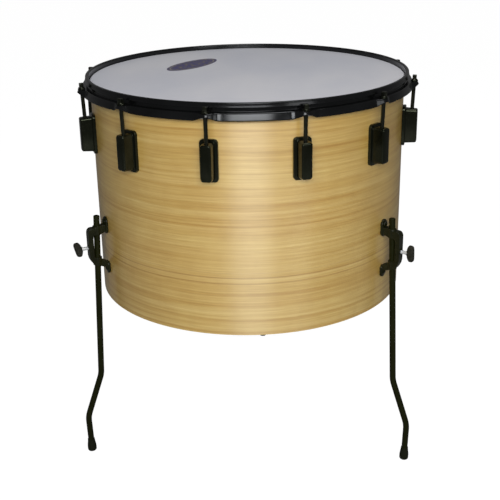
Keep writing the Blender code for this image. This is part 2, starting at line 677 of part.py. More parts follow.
bracket_parts = [
    helper(rod_between("upper_collar", COLLAR_RADIUS, 0.0, COLLAR_HEIGHT, 10), upper_collar),
    helper(rod_between("lower_collar", COLLAR_RADIUS, 0.0, LOWER_COLLAR_HEIGHT, 10), lower_collar),
    helper(lofted("upper_ear", plate_rings(list(upper_shapes))),
           Matrix.Translation((bracket_back, 0.0, upper_centre))),
    helper(lofted("lower_ear", plate_rings(list(lower_shapes))),
           Matrix.Translation((bracket_back, 0.0, lower_centre))),
    helper(extruded("upper_neck", upper_neck, 0.5 * NECK_WIDTH, 0.0), Matrix.Translation((bracket_back, 0, 0))),
    helper(extruded("lower_neck", lower_neck, 0.5 * ARM_WIDTH, 0.0), Matrix.Translation((bracket_back, 0, 0))),
    helper(rod_between("clamp_boss", CLAMP_BOSS_RADIUS, 0.0, boss_face - boss_start, 10),
           radial(boss_start, clamp_z)),
]
combine(bracket, bracket_parts, "UNION")
bracket_cuts = [
    helper(rod_between("leg_bore", leg_bore, -BRACKET_HEIGHT, 2.0 * BRACKET_HEIGHT, 10), upper_collar),
    helper(rod_between("clamp_bore", CLAMP_RADIUS + SCREW_CLEARANCE, -ARCH_THICKNESS, 2.0 * ARCH_THICKNESS, 8,
                       math.pi / 8.0), radial(boss_start, clamp_z)),
]
combine(bracket, bracket_cuts, "DIFFERENCE")
bolt_profile = [
    (0.0, head_seat - BOLT_NUT_HEIGHT - BOLT_TAIL),
    (SCREW_RADIUS, head_seat - BOLT_NUT_HEIGHT - BOLT_TAIL),
    (SCREW_RADIUS, head_seat - BOLT_NUT_HEIGHT),
    (SCREW_HEAD_RADIUS, head_seat - BOLT_NUT_HEIGHT),
    (SCREW_HEAD_RADIUS, head_seat),
    (SCREW_RADIUS, head_seat),
    (SCREW_RADIUS, bracket_back + 0.5 * EAR_PLATE_THICKNESS),
    (0.8 * SCREW_HEAD_RADIUS, bracket_back + 0.5 * EAR_PLATE_THICKNESS),
    (0.8 * SCREW_HEAD_RADIUS, bracket_back + EAR_PLATE_THICKNESS + 0.2 * SCREW_HEAD_HEIGHT),
    (0.5 * SCREW_HEAD_RADIUS, bracket_back + EAR_PLATE_THICKNESS + 0.8 * SCREW_HEAD_HEIGHT),
    (0.0, bracket_back + EAR_PLATE_THICKNESS + 0.8 * SCREW_HEAD_HEIGHT),
]
bolts = []
for height in (upper_screw_z, lower_screw_z):
    bolts.append(helper(turned("bolt", bolt_profile, 6), radial(0.0, height)))
bracket_mesh = combine(bracket, bolts, "UNION")
bpy.data.objects.remove(bracket, do_unlink=True)
for i, empty in enumerate(leg_stations):
    add_object("leg_bracket_%d" % (i + 1), bracket_mesh, bracket_black, empty, Matrix.Identity(4))

# Legs. The centre line runs down from the top with two rounded bends.
leg_top = bracket_top + LEG_ABOVE_BRACKET


def leg_corners():
    """Corner points of the leg's centre line, from its top to its end in the foot."""
    points = [Vector((leg_out(leg_top), 0.0, leg_top))]
    runs = ((LEG_STRAIGHT, LEG_SPLAY), (LEG_KICK_LENGTH, LEG_KICK_ANGLE),
            (LEG_TIP_LENGTH, LEG_TIP_ANGLE))
    for length, degrees in runs:
        turn = math.radians(degrees)
        points.append(points[-1] + Vector((math.sin(turn), 0.0, -math.cos(turn))) * length)
    return points


def rounded_path(corners, radius, steps):
    """Replace each inner corner by an arc of the bend radius."""
    path = [corners[0]]
    for before, corner, after in zip(corners, corners[1:], corners[2:]):
        first = (before - corner).normalized()
        second = (after - corner).normalized()
        half_angle = 0.5 * first.angle(second)
        reach = radius / math.tan(half_angle)
        centre = corner + (first + second).normalized() * radius / math.sin(half_angle)
        start = corner + first * reach - centre
        end = corner + second * reach - centre
        sweep = start.angle(end)
        for k in range(steps + 1):
            share = k / steps
            weight_a = math.sin((1.0 - share) * sweep) / math.sin(sweep)
            weight_b = math.sin(share * sweep) / math.sin(sweep)
            path.append(centre + start * weight_a + end * weight_b)
    path.append(corners[-1])
    return path


corners = leg_corners()
leg_path = rounded_path(corners, LEG_BEND_RADIUS, 4)
leg_path.insert(1, corners[0] + (corners[1] - corners[0]).normalized() * LEG_CROWN)
leg_radii = [0.62 * LEG_RADIUS] + [LEG_RADIUS] * (len(leg_path) - 1)
foot_down = (corners[3] - corners[2]).normalized()
floor_z = corners[3].z - FOOT_SOLE
leg_frame = Matrix.Translation((leg_out(clamp_z), 0.0, clamp_z))
leg_path = [leg_frame.inverted() @ point for point in leg_path]
leg_mesh = swept("leg", leg_path, leg_radii, LEG_SIDES)
for i, empty in enumerate(leg_stations):
    add_object("leg_%d" % (i + 1), leg_mesh, leg_black, empty, leg_frame)

# Rubber feet, bored for the end of the leg and cut level at the sole
foot_bore = LEG_RADIUS + LEG_CLEARANCE
foot_profile = [
    (0.0, -SEAT_GAP),
    (foot_bore, -SEAT_GAP),
    (foot_bore, -FOOT_HEIGHT + FOOT_SOLE),
    (FOOT_NECK_RADIUS, -FOOT_HEIGHT + FOOT_SOLE),
    (FOOT_RADIUS, -0.12 * FOOT_HEIGHT),
    (FOOT_RADIUS, 0.45 * FOOT_SOLE),
    (0.72 * FOOT_RADIUS, 1.10 * FOOT_SOLE),
    (0.0, 1.10 * FOOT_SOLE),
]
foot_axis = Matrix.Translation(corners[3]) @ Matrix.Rotation(
    math.pi - math.radians(LEG_TIP_ANGLE), 4, "Y")
foot = helper(turned("foot_shape", [(r, z + SEAT_GAP) for r, z in foot_profile], 10), foot_axis)
floor_box = rod_between("floor_cut", 3.0 * FOOT_RADIUS, -FOOT_HEIGHT, 0.0, 8)
foot_mesh = combine(foot, [helper(floor_box, Matrix.Translation((corners[3].x, 0.0, floor_z)))],
                    "DIFFERENCE")
foot_mesh.transform(foot_axis)
bpy.data.objects.remove(foot, do_unlink=True)
for i, empty in enumerate(leg_stations):
    add_object("foot_%d" % (i + 1), foot_mesh, rubber, empty, Matrix.Identity(4))

# T screws. Each one's frame sits on the leg's surface and points straight out.
clamp_tip = leg_axis_at_clamp + LEG_RADIUS / math.cos(splay) + SEAT_GAP
clamp_tip += CLAMP_RADIUS * leg_foot_slope
collar_from = boss_face + CLAMP_SHOWS - clamp_tip
handle_from = collar_from + CLAMP_COLLAR_LENGTH + SEAT_GAP
bore_end = handle_from + HANDLE_BORE_DEPTH
shaft_end = bore_end - SEAT_GAP
shaft_profile = [
    (0.0, 0.0),
    (0.7 * CLAMP_RADIUS, 0.0),
    (CLAMP_RADIUS, 0.3 * CLAMP_RADIUS),
    (CLAMP_RADIUS, collar_from),
    (CLAMP_COLLAR_RADIUS, collar_from + 0.3 * CLAMP_COLLAR_LENGTH),
    (CLAMP_COLLAR_RADIUS, collar_from + CLAMP_COLLAR_LENGTH),
    (CLAMP_RADIUS, collar_from + CLAMP_COLLAR_LENGTH),
    (CLAMP_RADIUS, shaft_end),
    (0.0, shaft_end),
]
handle_low = rounded_outline(0.62 * HANDLE_LENGTH, 0.86 * HANDLE_THICKNESS,
                             0.40 * HANDLE_THICKNESS, 2)
handle_mid = rounded_outline(HANDLE_LENGTH, HANDLE_THICKNESS, 0.46 * HANDLE_THICKNESS, 2)
handle_top = rounded_outline(0.80 * HANDLE_LENGTH, 0.62 * HANDLE_THICKNESS,
                             0.28 * HANDLE_THICKNESS, 2)
handle_rings = []
for share, outline in ((0.0, handle_low), (0.30, handle_mid), (0.78, handle_mid), (1.0, handle_top)):
    height = handle_from + share * HANDLE_DEPTH
    handle_rings.append([(x, y, height) for x, y in outline])
handle = helper(lofted("handle_shape", handle_rings))
handle_bore = rod_between("handle_bore", CLAMP_RADIUS + SEAT_GAP, 0.0, bore_end, 8, math.pi / 8.0)
handle_mesh = combine(handle, [helper(handle_bore)], "DIFFERENCE")
bpy.data.objects.remove(handle, do_unlink=True)
shaft_mesh = turned("clamp_shaft", shaft_profile, 8, math.pi / 8.0)
for i, empty in enumerate(leg_stations):
    turn = math.radians(HANDLE_TURNS[i])
    place = radial(clamp_tip, clamp_z)
    add_object("clamp_screw_%d" % (i + 1), shaft_mesh, steel, empty, place)
    grip_place = radial(clamp_tip, clamp_z, turn)
    add_object("clamp_handle_%d" % (i + 1), handle_mesh, grip, empty, grip_place)
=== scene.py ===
import math

import bmesh
import bpy
from mathutils import Matrix, Vector


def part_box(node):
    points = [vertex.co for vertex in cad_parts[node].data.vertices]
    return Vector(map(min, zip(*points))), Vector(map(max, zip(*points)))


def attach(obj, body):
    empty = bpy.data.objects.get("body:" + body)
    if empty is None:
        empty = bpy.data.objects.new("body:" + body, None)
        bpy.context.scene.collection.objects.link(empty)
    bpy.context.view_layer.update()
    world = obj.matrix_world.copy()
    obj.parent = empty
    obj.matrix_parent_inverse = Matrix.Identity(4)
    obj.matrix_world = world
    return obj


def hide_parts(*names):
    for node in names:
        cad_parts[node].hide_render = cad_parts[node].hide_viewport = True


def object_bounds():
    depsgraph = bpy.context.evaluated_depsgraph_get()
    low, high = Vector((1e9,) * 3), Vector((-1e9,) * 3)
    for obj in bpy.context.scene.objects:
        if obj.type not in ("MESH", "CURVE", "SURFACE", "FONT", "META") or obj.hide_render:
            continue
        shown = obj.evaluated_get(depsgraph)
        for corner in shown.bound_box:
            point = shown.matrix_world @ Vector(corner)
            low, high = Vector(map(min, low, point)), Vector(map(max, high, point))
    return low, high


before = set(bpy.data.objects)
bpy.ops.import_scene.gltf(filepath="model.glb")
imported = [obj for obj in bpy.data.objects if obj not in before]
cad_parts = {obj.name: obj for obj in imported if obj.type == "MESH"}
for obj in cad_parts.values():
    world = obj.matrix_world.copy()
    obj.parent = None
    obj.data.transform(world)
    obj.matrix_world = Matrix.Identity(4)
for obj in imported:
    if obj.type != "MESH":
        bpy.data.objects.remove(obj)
cad_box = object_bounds()

# Shell
# A tube of bent plywood, 506 mm across, with a maple veneer outside under satin lacquer.
# Its top edge is cut to a double bevel for the head; the bottom edge is plain.
shell_low, shell_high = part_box("shell")
shell_radius = shell_high[0]
shell_wall = 0.008
shell_bottom = shell_low[2]
shell_top = shell_high[2]


def turn_profile(name, profile, steps, sharp=28.0, closed=True):
    """Turn a section of radius and height points round the drum's axis."""
    bm = bmesh.new()
    rings = []
    for r, z in profile:
        if r < 1e-7:
            rings.append([bm.verts.new((0.0, 0.0, z))])
        else:
            ring = []
            for i in range(steps):
                angle = 2.0 * math.pi * i / steps
                ring.append(bm.verts.new((r * math.sin(angle), -r * math.cos(angle), z)))
            rings.append(ring)
    pairs = list(zip(rings, rings[1:]))
    if closed:
        pairs.append((rings[-1], rings[0]))
    for low, high in pairs:
        for i in range(steps):
            j = (i + 1) % steps
            if len(low) == 1 and len(high) == 1:
                continue
            if len(low) == 1:
                bm.faces.new((low[0], high[j], high[i]))
            elif len(high) == 1:
                bm.faces.new((low[i], low[j], high[0]))
            else:
                bm.faces.new((low[i], low[j], high[j], high[i]))
    bmesh.ops.recalc_face_normals(bm, faces=bm.faces)
    mesh = bpy.data.meshes.new(name)
    bm.to_mesh(mesh)
    bm.free()
    mesh.shade_smooth()
    mesh.set_sharp_from_angle(angle=math.radians(sharp))
    return mesh


def show(name, mesh, material, body, place=None):
    """Put a finished mesh, moved to its place, in the scene on its moving body."""
    if place is not None:
        mesh = mesh.copy()
        mesh.transform(place)
    piece = bpy.data.objects.new(name, mesh)
    bpy.context.scene.collection.objects.link(piece)
    if not mesh.materials:
        mesh.materials.append(material)
    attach(piece, body)
    return piece


def finish(name, colour, roughness, metallic=0.0):
    """Start a finish: a Principled material with its own sockets set."""
    made = bpy.data.materials.new(name)
    made.use_nodes = True
    shader = made.node_tree.nodes["Principled BSDF"]
    shader.inputs["Base Color"].default_value = (*colour, 1.0)
    shader.inputs["Roughness"].default_value = roughness
    shader.inputs["Metallic"].default_value = metallic
    return made, made.node_tree.nodes, made.node_tree.links, shader


def grain(nodes, links, scale, detail=4.0, roughness=0.55, source=None):
    """Noise in the piece's own metres, stretched by a scale along each axis."""
    mapping = nodes.new("ShaderNodeMapping")
    mapping.inputs["Scale"].default_value = scale
    if source is None:
        coords = nodes.new("ShaderNodeTexCoord")
        source = coords.outputs["Object"]
    links.new(source, mapping.inputs["Vector"])
    noise = nodes.new("ShaderNodeTexNoise")
    noise.inputs["Scale"].default_value = 1.0
    noise.inputs["Detail"].default_value = detail
    noise.inputs["Roughness"].default_value = roughness
    links.new(mapping.outputs["Vector"], noise.inputs["Vector"])
    return noise.outputs["Fac"]


def ramp(nodes, links, source, stops):
    """Colour ramp with its stops given as position and colour."""
    made = nodes.new("ShaderNodeValToRGB")
    while len(made.color_ramp.elements) < len(stops):
        made.color_ramp.elements.new(0.5)
    for element, (position, colour) in zip(made.color_ramp.elements, stops):
        element.position = position
        element.color = (*colour, 1.0)
    links.new(source, made.inputs["Fac"])
    return made.outputs["Color"]


def blend_colours(nodes, links, mode, amount, first, second):
    """Mix two colours, each a socket or a plain colour."""
    mix = nodes.new("ShaderNodeMix")
    mix.data_type = "RGBA"
    mix.blend_type = mode
    for socket, value in ((mix.inputs[0], amount), (mix.inputs[6], first), (mix.inputs[7], second)):
        if isinstance(value, (float, int)):
            socket.default_value = value
        elif isinstance(value, tuple):
            socket.default_value = (*value, 1.0)
        else:
            links.new(value, socket)
    return mix.outputs[2]


def reckon(nodes, links, operation, first, second=None, third=None):
    """One step of arithmetic between sockets and numbers."""
    math_node = nodes.new("ShaderNodeMath")
    math_node.operation = operation
    for i, value in enumerate((first, second, third)):
        if value is None:
            continue
        if isinstance(value, (float, int)):
            math_node.inputs[i].default_value = value
        else:
            links.new(value, math_node.inputs[i])
    return math_node.outputs[0]


def raised(nodes, links, shader, height, strength, distance):
    """Give a shader a fine relief from a height."""
    bump = nodes.new("ShaderNodeBump")
    bump.inputs["Strength"].default_value = strength
    bump.inputs["Distance"].default_value = distance
    links.new(height, bump.inputs["Height"])
    links.new(bump.outputs["Normal"], shader.inputs["Normal"])


veneer, nodes, links, shader = finish("maple_veneer", (0.62, 0.38, 0.10), 0.46)
coords = nodes.new("ShaderNodeTexCoord")
split = nodes.new("ShaderNodeSeparateXYZ")
links.new(coords.outputs["Object"], split.inputs[0])
sway = grain(nodes, links, (2.6, 2.6, 1.4), 2.0, 0.5, coords.outputs["Object"])
sway_small = grain(nodes, links, (14.0, 14.0, 10.0), 2.0, 0.5, coords.outputs["Object"])
wave = reckon(nodes, links, "MULTIPLY_ADD", sway, 0.0080, split.outputs["Z"])
wave = reckon(nodes, links, "MULTIPLY_ADD", sway_small, 0.0010, wave)
bent = nodes.new("ShaderNodeCombineXYZ")
links.new(split.outputs["X"], bent.inputs["X"])
links.new(split.outputs["Y"], bent.inputs["Y"])
links.new(wave, bent.inputs["Z"])
rings_of_growth = grain(nodes, links, (1.5, 1.5, 165.0), 4.0, 0.66, bent.outputs[0])
fine_fibre = grain(nodes, links, (22.0, 22.0, 800.0), 3.0, 0.6, bent.outputs[0])
broad_tone = grain(nodes, links, (2.4, 2.4, 22.0), 2.0, 0.5, bent.outputs[0])
figure = grain(nodes, links, (38.0, 38.0, 26.0), 2.0, 0.5, bent.outputs[0])
wood_tone = ramp(nodes, links, rings_of_growth, [
    (0.32, (0.585, 0.350, 0.080)),
    (0.44, (0.680, 0.455, 0.124)),
    (0.55, (0.740, 0.522, 0.166)),
    (0.70, (0.810, 0.602, 0.220)),
])
untinted = (1.0, 1.0, 1.0)
veneer_marks = (
    (0.42, fine_fibre, [(0.34, (0.75, 0.61, 0.42)), (0.60, untinted)]),
    (0.40, broad_tone, [(0.34, (0.84, 0.72, 0.54)), (0.62, untinted)]),
    (0.22, figure, [(0.36, (0.80, 0.73, 0.60)), (0.62, untinted)]),
)
for amount, source, stops in veneer_marks:
    wood_tone = blend_colours(nodes, links, "MULTIPLY", amount, wood_tone, ramp(nodes, links, source, stops))
wave_rise = 0.0045
ring_lines = ((-0.2485, 0.0010, 0.45), (-0.2560, 0.0016, 0.85), (-0.2650, 0.0014, 0.70))
dark_rings = None
for height, width, strength in ring_lines:
    away = reckon(nodes, links, "ABSOLUTE", reckon(nodes, links, "SUBTRACT", wave, height + wave_rise))
    line = reckon(nodes, links, "SUBTRACT", 1.0, reckon(nodes, links, "DIVIDE", away, width))
    line = reckon(nodes, links, "MULTIPLY", reckon(nodes, links, "MAXIMUM", line, 0.0), strength)
    dark_rings = line if dark_rings is None else reckon(nodes, links, "ADD", dark_rings, line)
wood_tone = blend_colours(nodes, links, "MULTIPLY", dark_rings, wood_tone, (0.60, 0.42, 0.22))
links.new(wood_tone, shader.inputs["Base Color"])
around = nodes.new("ShaderNodeTangent")
around.direction_type = "RADIAL"
around.axis = "Z"
links.new(around.outputs["Tangent"], shader.inputs["Tangent"])
shader.inputs["Anisotropic"].default_value = 0.93
shader.inputs["Anisotropic Rotation"].default_value = 0.25
shader.inputs["IOR"].default_value = 1.95
shader.inputs["Specular IOR Level"].default_value = 1.0
shader.inputs["Specular Tint"].default_value = (1.0, 1.0, 0.92, 1.0)
shader.inputs["Coat Weight"].default_value = 0.6
shader.inputs["Coat Roughness"].default_value = 0.34
raised(nodes, links, shader, fine_fibre, 0.10, 0.0002)

ply, nodes, links, shader = finish("raw_plywood", (0.60, 0.47, 0.30), 0.7)
layer_coords = nodes.new("ShaderNodeTexCoord")
layers = nodes.new("ShaderNodeVectorMath")
layers.operation = "LENGTH"
flat = nodes.new("ShaderNodeMapping")
flat.inputs["Scale"].default_value = (1.0, 1.0, 0.0)
links.new(layer_coords.outputs["Object"], flat.inputs["Vector"])
links.new(flat.outputs["Vector"], layers.inputs[0])
ply_spacing = 0.0026
layer_turn = reckon(nodes, links, "MULTIPLY", layers.outputs["Value"], 2.0 * math.pi / ply_spacing)
layer_wave = reckon(nodes, links, "SINE", layer_turn)
ply_grain = grain(nodes, links, (4.0, 4.0, 160.0), 4.0, 0.6)
ply_tone = ramp(nodes, links, ply_grain, [(0.3, (0.46, 0.33, 0.19)), (0.7, (0.68, 0.55, 0.36))])
layer_tone = ramp(nodes, links, layer_wave, [(0.35, (0.62, 0.52, 0.42)), (0.6, untinted)])
ply_tone = blend_colours(nodes, links, "MULTIPLY", 0.5, ply_tone, layer_tone)
links.new(ply_tone, shader.inputs["Base Color"])

peak_inset = 0.0035
outer_bevel = 0.0030
outer_ease = 0.00105
inner_bevel = 0.0045
inner = shell_radius - shell_wall
peak = shell_radius - peak_inset
edge = 0.0002
shell_section = [
    (inner, shell_bottom + edge),
    (inner + edge, shell_bottom),
    (shell_radius - edge, shell_bottom),
    (shell_radius, shell_bottom + edge),
    (shell_radius, shell_top - outer_bevel),
    (shell_radius - outer_ease, shell_top - outer_ease),
    (peak, shell_top),
    (inner, shell_top - inner_bevel),
]
shell_mesh = turn_profile("shell", shell_section, 256)
shell_mesh.materials.append(veneer)
shell_mesh.materials.append(ply)
veneer_depth = 0.0004
for face in shell_mesh.polygons:
    reach = math.hypot(face.center.x, face.center.y)
    if reach < shell_radius - veneer_depth:
        face.material_index = 1
shell = show("wooden_shell", shell_mesh, veneer, "drum")
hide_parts("shell")

# Drum head
# A white polyester film, stretched flat across the bearing edge and rolled down over it.
# Its collar is crimped into the flesh hoop under the counter hoop.
film, nodes, links, shader = finish("head_film", (0.69, 0.69, 0.74), 0.30)
# The film's colour is its own lilac grey, varied in broad random patches; the paler patches are painted
# reflections of soft light on the glossy film.
painted_reflection_haze = grain(nodes, links, (6.0, 3.0, 4.0), 3.0, 0.5)
haze_fine = grain(nodes, links, (120.0, 120.0, 120.0), 3.0, 0.6)
film_tone_and_painted_reflections = ramp(nodes, links, painted_reflection_haze, [(0.36, (0.630, 0.640, 0.705)), (0.64, (0.725, 0.722, 0.760))])
links.new(film_tone_and_painted_reflections, shader.inputs["Base Color"])
gloss = nodes.new("ShaderNodeMapRange")
gloss.inputs["To Min"].default_value = 0.26
gloss.inputs["To Max"].default_value = 0.40
links.new(haze_fine, gloss.inputs["Value"])
links.new(gloss.outputs[0], shader.inputs["Roughness"])
raised(nodes, links, shader, haze_fine, 0.05, 0.0002)

film_thick = 0.0004
film_gap = 0.0004
film_lip = 0.0032
roll_drop = 0.0034
inner_roll_drop = 0.0033
film_inner = shell_radius + film_gap
film_outer = film_inner + film_thick
collar_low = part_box("drum_head")[0][2]
head_section = [(0.0, 0.0)]
for i in range(1, 12):
    head_section.append((peak * i / 12.0, 0.0))
for i in range(9):
    turn = math.radians(90.0 * i / 8.0)
    head_section.append((peak + (film_outer - peak) * math.sin(turn), -roll_drop * (1.0 - math.cos(turn))))
head_section += [
    (film_outer, collar_low + film_thick),
    (film_outer + film_lip, collar_low + film_thick),
    (film_outer + film_lip, collar_low),
    (film_inner, collar_low),
]
for i in range(8, -1, -1):
    turn = math.radians(90.0 * i / 8.0)
    roll_radius = peak + (film_inner - peak) * math.sin(turn)
    head_section.append((roll_radius, -film_thick - inner_roll_drop * (1.0 - math.cos(turn))))
head_section.append((0.0, -film_thick))
head_mesh = turn_profile("drum_head", head_section, 256, closed=False)
head = show("white_drum_head", head_mesh, film, "drum")
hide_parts("drum_head")

# Printed oval on the head
# A thin patch of ink, dark blue with a paler line inside its edge, near the film's far left.
# It carries no lettering.
ink, nodes, links, shader = finish("badge_ink", (0.05, 0.05, 0.13), 0.35)
ink_mottle = grain(nodes, links, (150.0, 150.0, 150.0), 3.0, 0.6)
ink_tone = ramp(nodes, links, ink_mottle, [
    (0.40, (0.050, 0.046, 0.165)),
    (0.54, (0.075, 0.064, 0.130)),
    (0.66, (0.220, 0.190, 0.100)),
])
links.new(ink_tone, shader.inputs["Base Color"])
rim_ink, nodes, links, shader = finish("badge_rim_ink", (0.30, 0.28, 0.22), 0.35)
rim_mottle = grain(nodes, links, (400.0, 400.0, 400.0), 3.0, 0.6)
rim_tone = ramp(nodes, links, rim_mottle, [(0.35, (0.20, 0.18, 0.17)), (0.65, (0.36, 0.33, 0.24))])
links.new(rim_tone, shader.inputs["Base Color"])
badge_centre = Vector((-0.0998, 0.0784, 0.0))
badge_half_long = 0.0646
badge_half_short = 0.0262
badge_turn = math.radians(62.8)
badge_lift = 0.00008
line_half_long = 0.90 * badge_half_long
line_half_short = 0.86 * badge_half_short
line_inner_share = 0.95
line_lift = 0.00012


def oval_patch(name, half_long, half_short, lift, inner_share=0.0):
    """A flat oval, or an oval band, just above the film."""
    bm = bmesh.new()
    count = 96
    outer = []
    hole = []
    for i in range(count):
        angle = 2.0 * math.pi * i / count
        x, y = half_long * math.cos(angle), half_short * math.sin(angle)
        outer.append(bm.verts.new((x, y, lift)))
        if inner_share:
            hole.append(bm.verts.new((x * inner_share, y * inner_share, lift)))
    if inner_share:
        for i in range(count):
            j = (i + 1) % count
            bm.faces.new((outer[i], outer[j], hole[j], hole[i]))
    else:
        bm.faces.new(outer)
    mesh = bpy.data.meshes.new(name)
    bm.to_mesh(mesh)
    bm.free()
    return mesh


badge_place = Matrix.Translation(badge_centre) @ Matrix.Rotation(badge_turn, 4, "Z")
badge_mesh = oval_patch("printed_oval", badge_half_long, badge_half_short, badge_lift)
show("printed_oval", badge_mesh, ink, "drum", badge_place)
line_mesh = oval_patch("printed_oval_rim", line_half_long, line_half_short, line_lift, line_inner_share)
show("printed_oval_rim", line_mesh, rim_ink, "drum", badge_place)

# Flesh hoop
# The aluminium channel that grips the rim of the film. It hides under the counter hoop's
# shoulder, so the frame's own solid is kept and only gets its drawn-metal finish.
mill, nodes, links, shader = finish("drawn_aluminium", (0.62, 0.62, 0.62), 0.36, 1.0)
drawn = grain(nodes, links, (20.0, 20.0, 900.0), 3.0, 0.6)
links.new(ramp(nodes, links, drawn, [(0.3, (0.50, 0.50, 0.50)), (0.7, (0.68, 0.68, 0.68))]),
          shader.inputs["Base Color"])
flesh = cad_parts["flesh_hoop"]
flesh.data.materials.clear()
flesh.data.materials.append(mill)

# Counter hoop
# Pressed from 2.3 mm steel sheet with three flanges: a rolled lip on top, a shoulder that
# bears on the flesh hoop, and a skirt that swells into an ear at each rod. Black nickel.
hoop_black, nodes, links, shader = finish("black_nickel_plate", (0.024, 0.025, 0.025), 0.16, 0.86)
plate_tone = ramp(nodes, links, grain(nodes, links, (14.0, 14.0, 30.0), 3.0, 0.5),
                  [(0.3, (0.019, 0.020, 0.020)), (0.7, (0.030, 0.031, 0.033))])
links.new(plate_tone, shader.inputs["Base Color"])
plate_ripple = grain(nodes, links, (90.0, 90.0, 90.0), 2.0, 0.5)
rough_map = nodes.new("ShaderNodeMapRange")
rough_map.inputs["To Min"].default_value = 0.12
rough_map.inputs["To Max"].default_value = 0.22
links.new(plate_ripple, rough_map.inputs["Value"])
links.new(rough_map.outputs[0], shader.inputs["Roughness"])

sheet = 0.0023
hoop_gap = 0.0008
hoop_in = film_outer + hoop_gap
hoop_top = 0.0071
shoulder_drop = 0.0135
shoulder = hoop_top - shoulder_drop
under = shoulder - sheet
lip_width = 0.0055
lip_drop = 0.0072
lip_fold = 0.0016
lip_bead = 0.0008
lip_curve = 0.0016
lip_depth = 0.0050
skirt_reach = 0.0128
skirt_drop = 0.0112
skirt_curve = 0.0021
skirt_edge_curve = 0.0007
ear_flare = 0.0006
skirt_flare = 0.0016
ear_reach = 0.0215
ear_drop = 0.0047
ear_half_width = 0.0200
ear_half_angle = math.degrees(ear_half_width / (hoop_in + skirt_reach))
first_rod_angle = -8.0
rod_pitch = 30.0
rod_angles = [first_rod_angle + rod_pitch * i for i in range(12)]


def bend(centre, radius, start, end, steps):
    """Points of a bend in a section, from one angle to another."""
    points = []
    for i in range(steps + 1):
        angle = math.radians(start + (end - start) * i / steps)
        points.append((centre[0] + radius * math.cos(angle), centre[1] + radius * math.sin(angle)))
    return points


def hoop_section(swell):
    """Section of the hoop, from plain skirt at 0 to full ear at 1."""
    wall_out = hoop_in + sheet
    lip_out = hoop_in + lip_width
    skirt_out = hoop_in + skirt_reach + (ear_reach - skirt_reach) * swell
    low = shoulder - skirt_drop - (ear_drop - skirt_drop) * swell
    points = bend((hoop_in + lip_curve, hoop_top - lip_curve), lip_curve, 180.0, 90.0, 5)
    points += bend((lip_out - lip_curve, hoop_top - lip_curve), lip_curve, 90.0, 0.0, 5)
    points.append((lip_out, hoop_top - lip_drop + 0.0026))
    points.append((lip_out + lip_bead, hoop_top - lip_drop + 0.0008))
    points += bend((lip_out + lip_bead - 0.0006, hoop_top - lip_drop + 0.0006), 0.0006, 0.0, -90.0, 3)
    points.append((lip_out - lip_fold + 0.0003, hoop_top - lip_drop))
    points.append((lip_out - lip_fold, hoop_top - lip_drop + 0.0003))
    points.append((lip_out - lip_fold, hoop_top - lip_depth))
    points += bend((wall_out + 0.0008, hoop_top - lip_depth), 0.0008, 90.0, 180.0, 3)
    points += bend((wall_out + 0.0010, shoulder + 0.0010), 0.0010, 180.0, 270.0, 4)
    flare = ear_flare + skirt_flare * (1.0 - swell)
    points += bend((skirt_out - skirt_curve - flare, shoulder - skirt_curve), skirt_curve, 90.0, 15.0, 6)
    points.append((skirt_out - 0.90 * flare, shoulder - 0.0024))
    points.append((skirt_out - 0.12 * flare, low + 0.0017))
    points += bend((skirt_out - skirt_edge_curve, low + skirt_edge_curve), skirt_edge_curve, 0.0, -90.0, 3)
    points += bend((skirt_out - sheet + skirt_edge_curve, low + skirt_edge_curve), skirt_edge_curve,
                   270.0, 180.0, 3)
    points += bend((skirt_out - sheet - 0.0006 - flare, under - 0.0006), 0.0006, 0.0, 90.0, 3)
    points += bend((hoop_in + 0.0006, under + 0.0006), 0.0006, 270.0, 180.0, 3)
    return points


hoop_bm = bmesh.new()
hoop_rings = []
per_pitch = 40
swell_power = 1.05
for rod_angle in rod_angles:
    for step in range(per_pitch):
        offset = -0.5 * rod_pitch + rod_pitch * step / per_pitch
        swell = 0.0
        if abs(offset) < ear_half_angle:
            swell = (0.5 + 0.5 * math.cos(math.pi * offset / ear_half_angle)) ** swell_power
        turn = math.radians(rod_angle + offset)
        hoop_rings.append([hoop_bm.verts.new((r * math.sin(turn), -r * math.cos(turn), z))
                           for r, z in hoop_section(swell)])
for ring, following in zip(hoop_rings, hoop_rings[1:] + hoop_rings[:1]):
    for k in range(len(ring)):
        n = (k + 1) % len(ring)
        hoop_bm.faces.new((ring[k], ring[n], following[n], following[k]))
bmesh.ops.recalc_face_normals(hoop_bm, faces=hoop_bm.faces)
hoop_mesh = bpy.data.meshes.new("counter_hoop")
hoop_bm.to_mesh(hoop_mesh)
hoop_bm.free()
hoop_mesh.shade_smooth()
hoop_mesh.set_sharp_from_angle(angle=math.radians(50.0))
hoop = show("pressed_counter_hoop", hoop_mesh, hoop_black, "drum")
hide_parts("counter_hoop")

